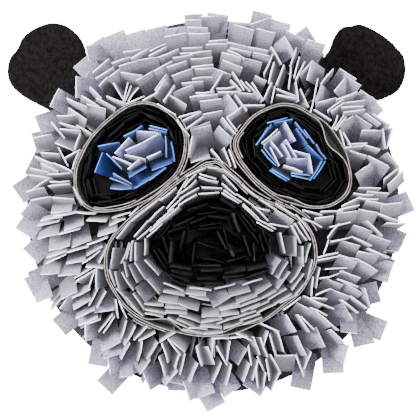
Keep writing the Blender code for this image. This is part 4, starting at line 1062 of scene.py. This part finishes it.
# the blue and lilac tabs, set like the others on the drawing grid
eyes = (
    {"side": "left", "rim": eyeLeftRim, "seed": 5,
     "blue": (
         (122.5, 136.5, 143.5, 125, 12), (98, 147, 119, 141.5, 22), (94.5, 173.5, 102.5, 151.5, 32),
         (105, 152, 123, 170, 4), (113, 173, 132, 184, 10), (129, 185.5, 110, 178, 6),
         (132, 188.5, 110, 188.5, 14), (151, 179.5, 133, 189, 24), (172, 162.5, 152, 170.5, 26),
         (166, 168, 150, 180, 16), (166, 157, 165.5, 136, 3), (172, 141.5, 174, 161.5, 18),
         (149, 128, 166, 132.5, 10), (150, 125.5, 167, 130, 6), (146.5, 168, 129, 177, 16)),
     "lilac": (
         (136, 131, 158, 132.5, 20), (143.5, 141.5, 160.5, 133.5, 28), (125.5, 150, 143.5, 142.5, 24),
         (125, 155, 145, 159, 10), (113.5, 154.5, 130.5, 136.5, 20), (113, 157, 131, 163.5, 12),
         (128, 169, 139, 159.5, 10), (147, 157.5, 160.5, 151.5, 6))},
    {"side": "right", "rim": eyeRightRim, "seed": 6,
     "blue": (
         (267.5, 123, 287, 117.5, 6), (274, 122.5, 292.5, 119, 16), (256, 145, 268, 127, 6),
         (259, 142, 271, 124, 14), (295.5, 122, 308, 138, 6), (296.5, 128.5, 307.5, 144, 18),
         (304.5, 129.5, 314, 143.5, 3), (308, 144.5, 322.5, 160, 22), (316.5, 144, 326, 159, 4),
         (326, 160, 313, 180, 5), (322.5, 161, 310.5, 179, 8), (310, 175.5, 292, 173, 5),
         (311, 180, 291.5, 175.5, 10), (287, 181, 270, 170.5, 6), (289, 180, 272, 169, 12),
         (276, 165.5, 261.5, 149.5, 6), (277.5, 163.5, 263, 147, 10)),
     "lilac": (
         (262, 143, 277.5, 129, 4), (264, 145, 279, 131, 22), (284.5, 121.5, 296, 141, 18),
         (271, 141.5, 282.5, 156, 12), (270, 147.5, 279.5, 165.5, 4), (286, 139.5, 296.5, 157, 16),
         (282.5, 143.5, 291, 158, 18), (286.5, 158, 308.5, 158.5, 26), (309.5, 156, 312.5, 173, 6),
         (284, 166, 302.5, 171.5, 4), (293, 150, 309.5, 155, 20))},
)


def clearOfPartings(line, rim, margin, count=150):
    # moves a line further in where the rim's leaves part
    points = []
    for place, along in line.walk(count):
        need = margin + partingWidth(rim, place) + 2 * rimCut["leaf"]
        points.append(place + leftOf(along) * max(0.0, need + rim["line"].gap(place)))
    return Line(points, True)


def buildEye(eye, dice):
    side, rim = eye["side"], eye["rim"]
    for rows, name, felt, nodes in (
            (eye["blue"], "irisFringe_", blue, nodesNamed("fringe_iris_%s_" % side)),
            (eye["lilac"], "pupilFringe_", lilac, ["fringe_pupil_%s" % side])):
        bm = startFringe()
        for row in rows:
            addPlaced(bm, row, dice, lambda root: True)
        finishFringe(name + side, bm, felt, nodes)
    well = startFringe()
    for inset in eyeWells["insets"]:
        line = clearOfPartings(rim["line"].inset(inset), rim, eyeWells["margin"])
        sewRow(well, line, dice, fan=4, opened=10, length=eyeWells["length"], within=rim,
               keepOff=eyeWells["keepOff"])
    finishFringe("eyeFringe_%s" % side, well, black, nodesNamed("fringe_eye_%s_" % side))


for eye in eyes:
    buildEye(eye, random.Random(eye["seed"]))
print("eyes made")

baseCut = {"radius": 0.225, "trim": 0.0008, "steps": 128, "bevel": 0.0007}


def buildBase():
    bm = bmesh.new()
    bmesh.ops.create_circle(bm, cap_ends=True, segments=baseCut["steps"],
                            radius=baseCut["radius"] - baseCut["trim"])
    raiseCopy(bm, baseTop)
    sharp = [edge for edge in bm.edges if not edge.is_boundary and edge.calc_face_angle(0.0) > 0.8]
    bmesh.ops.bevel(bm, geom=sharp, offset=baseCut["bevel"], segments=3, profile=0.5, affect="EDGES",
                    material=-1)
    for face in bm.faces:
        face.material_index = int(abs(face.normal.z) < 0.9)  # the cut edge has the charcoal's second material, painted lighter as painted highlight
    piece = finishPiece("baseMat", bm, charcoal, ["base"])


buildBase()

# the way each ear points, and its outline, from one hidden root corner to the other
ears = {
    "left": {"away": (-0.727, 0.687, 0.0), "corners": (
        (-0.1385, 0.158), (-0.1445, 0.17), (-0.1523, 0.1838), (-0.1539, 0.1905), (-0.1585, 0.2005),
        (-0.1637, 0.2074), (-0.1691, 0.2123), (-0.1753, 0.2165), (-0.1821, 0.2192), (-0.1902, 0.2208),
        (-0.1982, 0.2204), (-0.2056, 0.2183), (-0.213, 0.2151), (-0.2203, 0.2107), (-0.2271, 0.205),
        (-0.2313, 0.1993), (-0.2338, 0.1931), (-0.2368, 0.1878), (-0.2421, 0.182), (-0.2455, 0.1749),
        (-0.2473, 0.1662), (-0.2471, 0.1575), (-0.2446, 0.1497), (-0.2401, 0.1427), (-0.2337, 0.1367),
        (-0.2266, 0.1314), (-0.2148, 0.1249), (-0.1979, 0.1158), (-0.182, 0.105))},
    "right": {"away": (0.735, 0.678, 0.0), "corners": (
        (0.171, 0.122), (0.1833, 0.1236), (0.199, 0.1275), (0.2099, 0.1316), (0.2192, 0.1365),
        (0.2247, 0.1418), (0.2285, 0.1489), (0.2309, 0.1563), (0.2319, 0.1649), (0.2309, 0.1741),
        (0.2292, 0.1812), (0.2252, 0.1867), (0.2208, 0.1911), (0.2164, 0.1964), (0.2108, 0.2011),
        (0.2045, 0.2059), (0.1965, 0.2108), (0.1878, 0.2156), (0.1809, 0.2184), (0.175, 0.2193),
        (0.1698, 0.2185), (0.1655, 0.2169), (0.1599, 0.2167), (0.1543, 0.2145), (0.1492, 0.2092),
        (0.1445, 0.2006), (0.1394, 0.1878), (0.1337, 0.1796), (0.129, 0.166))},
}
earCut = {
    "rootRadius": 0.208,
    "rootSteps": 10,
    "drop": (0.2262, 0.2380),  # they come down to the floor between these distances
    "over": 0.0003,  # they lie this far over the base
    "thickness": 0.0022,
    "sliceSteps": (0.004, 0.006),  # outwards and across, so that they can bend
    "bevel": 0.0007,
}


def sliceSheet(bm, way, distances):
    for distance in distances:
        bmesh.ops.bisect_plane(bm, geom=bm.verts[:] + bm.edges[:] + bm.faces[:], dist=1e-7,
                               plane_co=way * distance, plane_no=way)


def buildEar(side, ear):
    outline = smoothOutline(ear["corners"], closed=False, resolution=8)
    first, last = directionOf(outline[-1]), directionOf(outline[0])
    steps = earCut["rootSteps"]
    outline += [polar(earCut["rootRadius"], first + (last - first) * step / steps)
                for step in range(steps + 1)]
    bm = bmesh.new()
    bm.faces.new([bm.verts.new((*point, 0.0)) for point in outline])
    away = Vector(ear["away"])
    outwards, across = earCut["sliceSteps"]
    sliceSheet(bm, away, [earCut["rootRadius"] + outwards * index for index in range(1, 24)])
    sliceSheet(bm, leftOf(away).to_3d(), [across * index for index in range(-14, 15)])
    near, far = earCut["drop"]
    for vert in bm.verts:
        share = clamp((vert.co.dot(away) - near) / (far - near))
        share = share * share * (3 - 2 * share)
        vert.co.z = (baseTop + earCut["over"]) * (1 - share)
    raiseCopy(bm, earCut["thickness"])
    area = sum(face.calc_area() for face in bm.faces if face.normal.z > 0.5)
    piece = finishPiece("ear_%s_felt" % side, bm, earBlack, ["ear_%s" % side])
    bevel = piece.modifiers.new("cutEdge", "BEVEL")
    bevel.width = earCut["bevel"]
    bevel.segments = 2
    bevel.limit_method = "ANGLE"
    low, high = boxCorner(outline, min), boxCorner(outline, max)


for side, ear in ears.items():
    buildEar(side, ear)
print("base and ears made")

studio = {
    "floorSize": 4.0,
    "floorDrop": -0.0002,  # under the mat's underside
    "floor": {"Base Color": (0.9, 0.9, 0.895, 1.0), "Roughness": 0.9,
              "Emission Color": (1.0, 1.0, 0.985, 1.0)},
    "floorGlow": 14.0,  # for the camera only, so that the floor is plain white
    "world": {"Color": (0.95, 0.97, 1.0, 1.0), "Strength": 1.55},
    "lights": (("softTop", (0.0, 0.30, 1.8), 0.7, 22.0), ("softLeft", (-1.45, 0.25, 0.85), 0.6, 168.0),
               ("softRight", (1.45, 0.05, 0.85), 0.6, 58.0)),  # name, place, size and watts
    "sensor": 36.0,
}


def buildFloor():
    bm = bmesh.new()
    bmesh.ops.create_grid(bm, x_segments=1, y_segments=1, size=studio["floorSize"])
    bmesh.ops.translate(bm, verts=bm.verts, vec=(0.0, 0.0, studio["floorDrop"]))
    floor = addObject("floor", takeMesh("floor", bm))
    material = bpy.data.materials.new("floorWhite")
    material.use_nodes = True
    tree = material.node_tree
    seen = tree.nodes.new("ShaderNodeLightPath").outputs["Is Camera Ray"]
    glow = mathNode(tree, "MULTIPLY", seen, studio["floorGlow"])
    setInputs(tree, tree.nodes["Principled BSDF"], {**studio["floor"], "Emission Strength": glow})
    floor.data.materials.append(material)


def buildStudio():
    world = bpy.data.worlds.new("studio")
    bpy.context.scene.world = world
    world.use_nodes = True
    setInputs(world.node_tree, world.node_tree.nodes["Background"], studio["world"])
    for name, place, size, power in studio["lights"]:
        light = bpy.data.lights.new(name, "AREA")
        light.size = size
        light.energy = power
        holder = addObject(name, light)
        holder.location = place
        holder.rotation_euler = (-Vector(place)).to_track_quat("-Z", "Y").to_euler()
    camera = bpy.data.cameras.new("camera")
    camera.sensor_width = studio["sensor"]
    camera.lens = studio["sensor"] * view["height"] / (view["squares"] * view["square"])
    holder = addObject("camera", camera)
    holder.location = (view["right"] * view["square"], view["up"] * view["square"], view["height"])
    bpy.context.scene.camera = holder


buildFloor()
buildStudio()
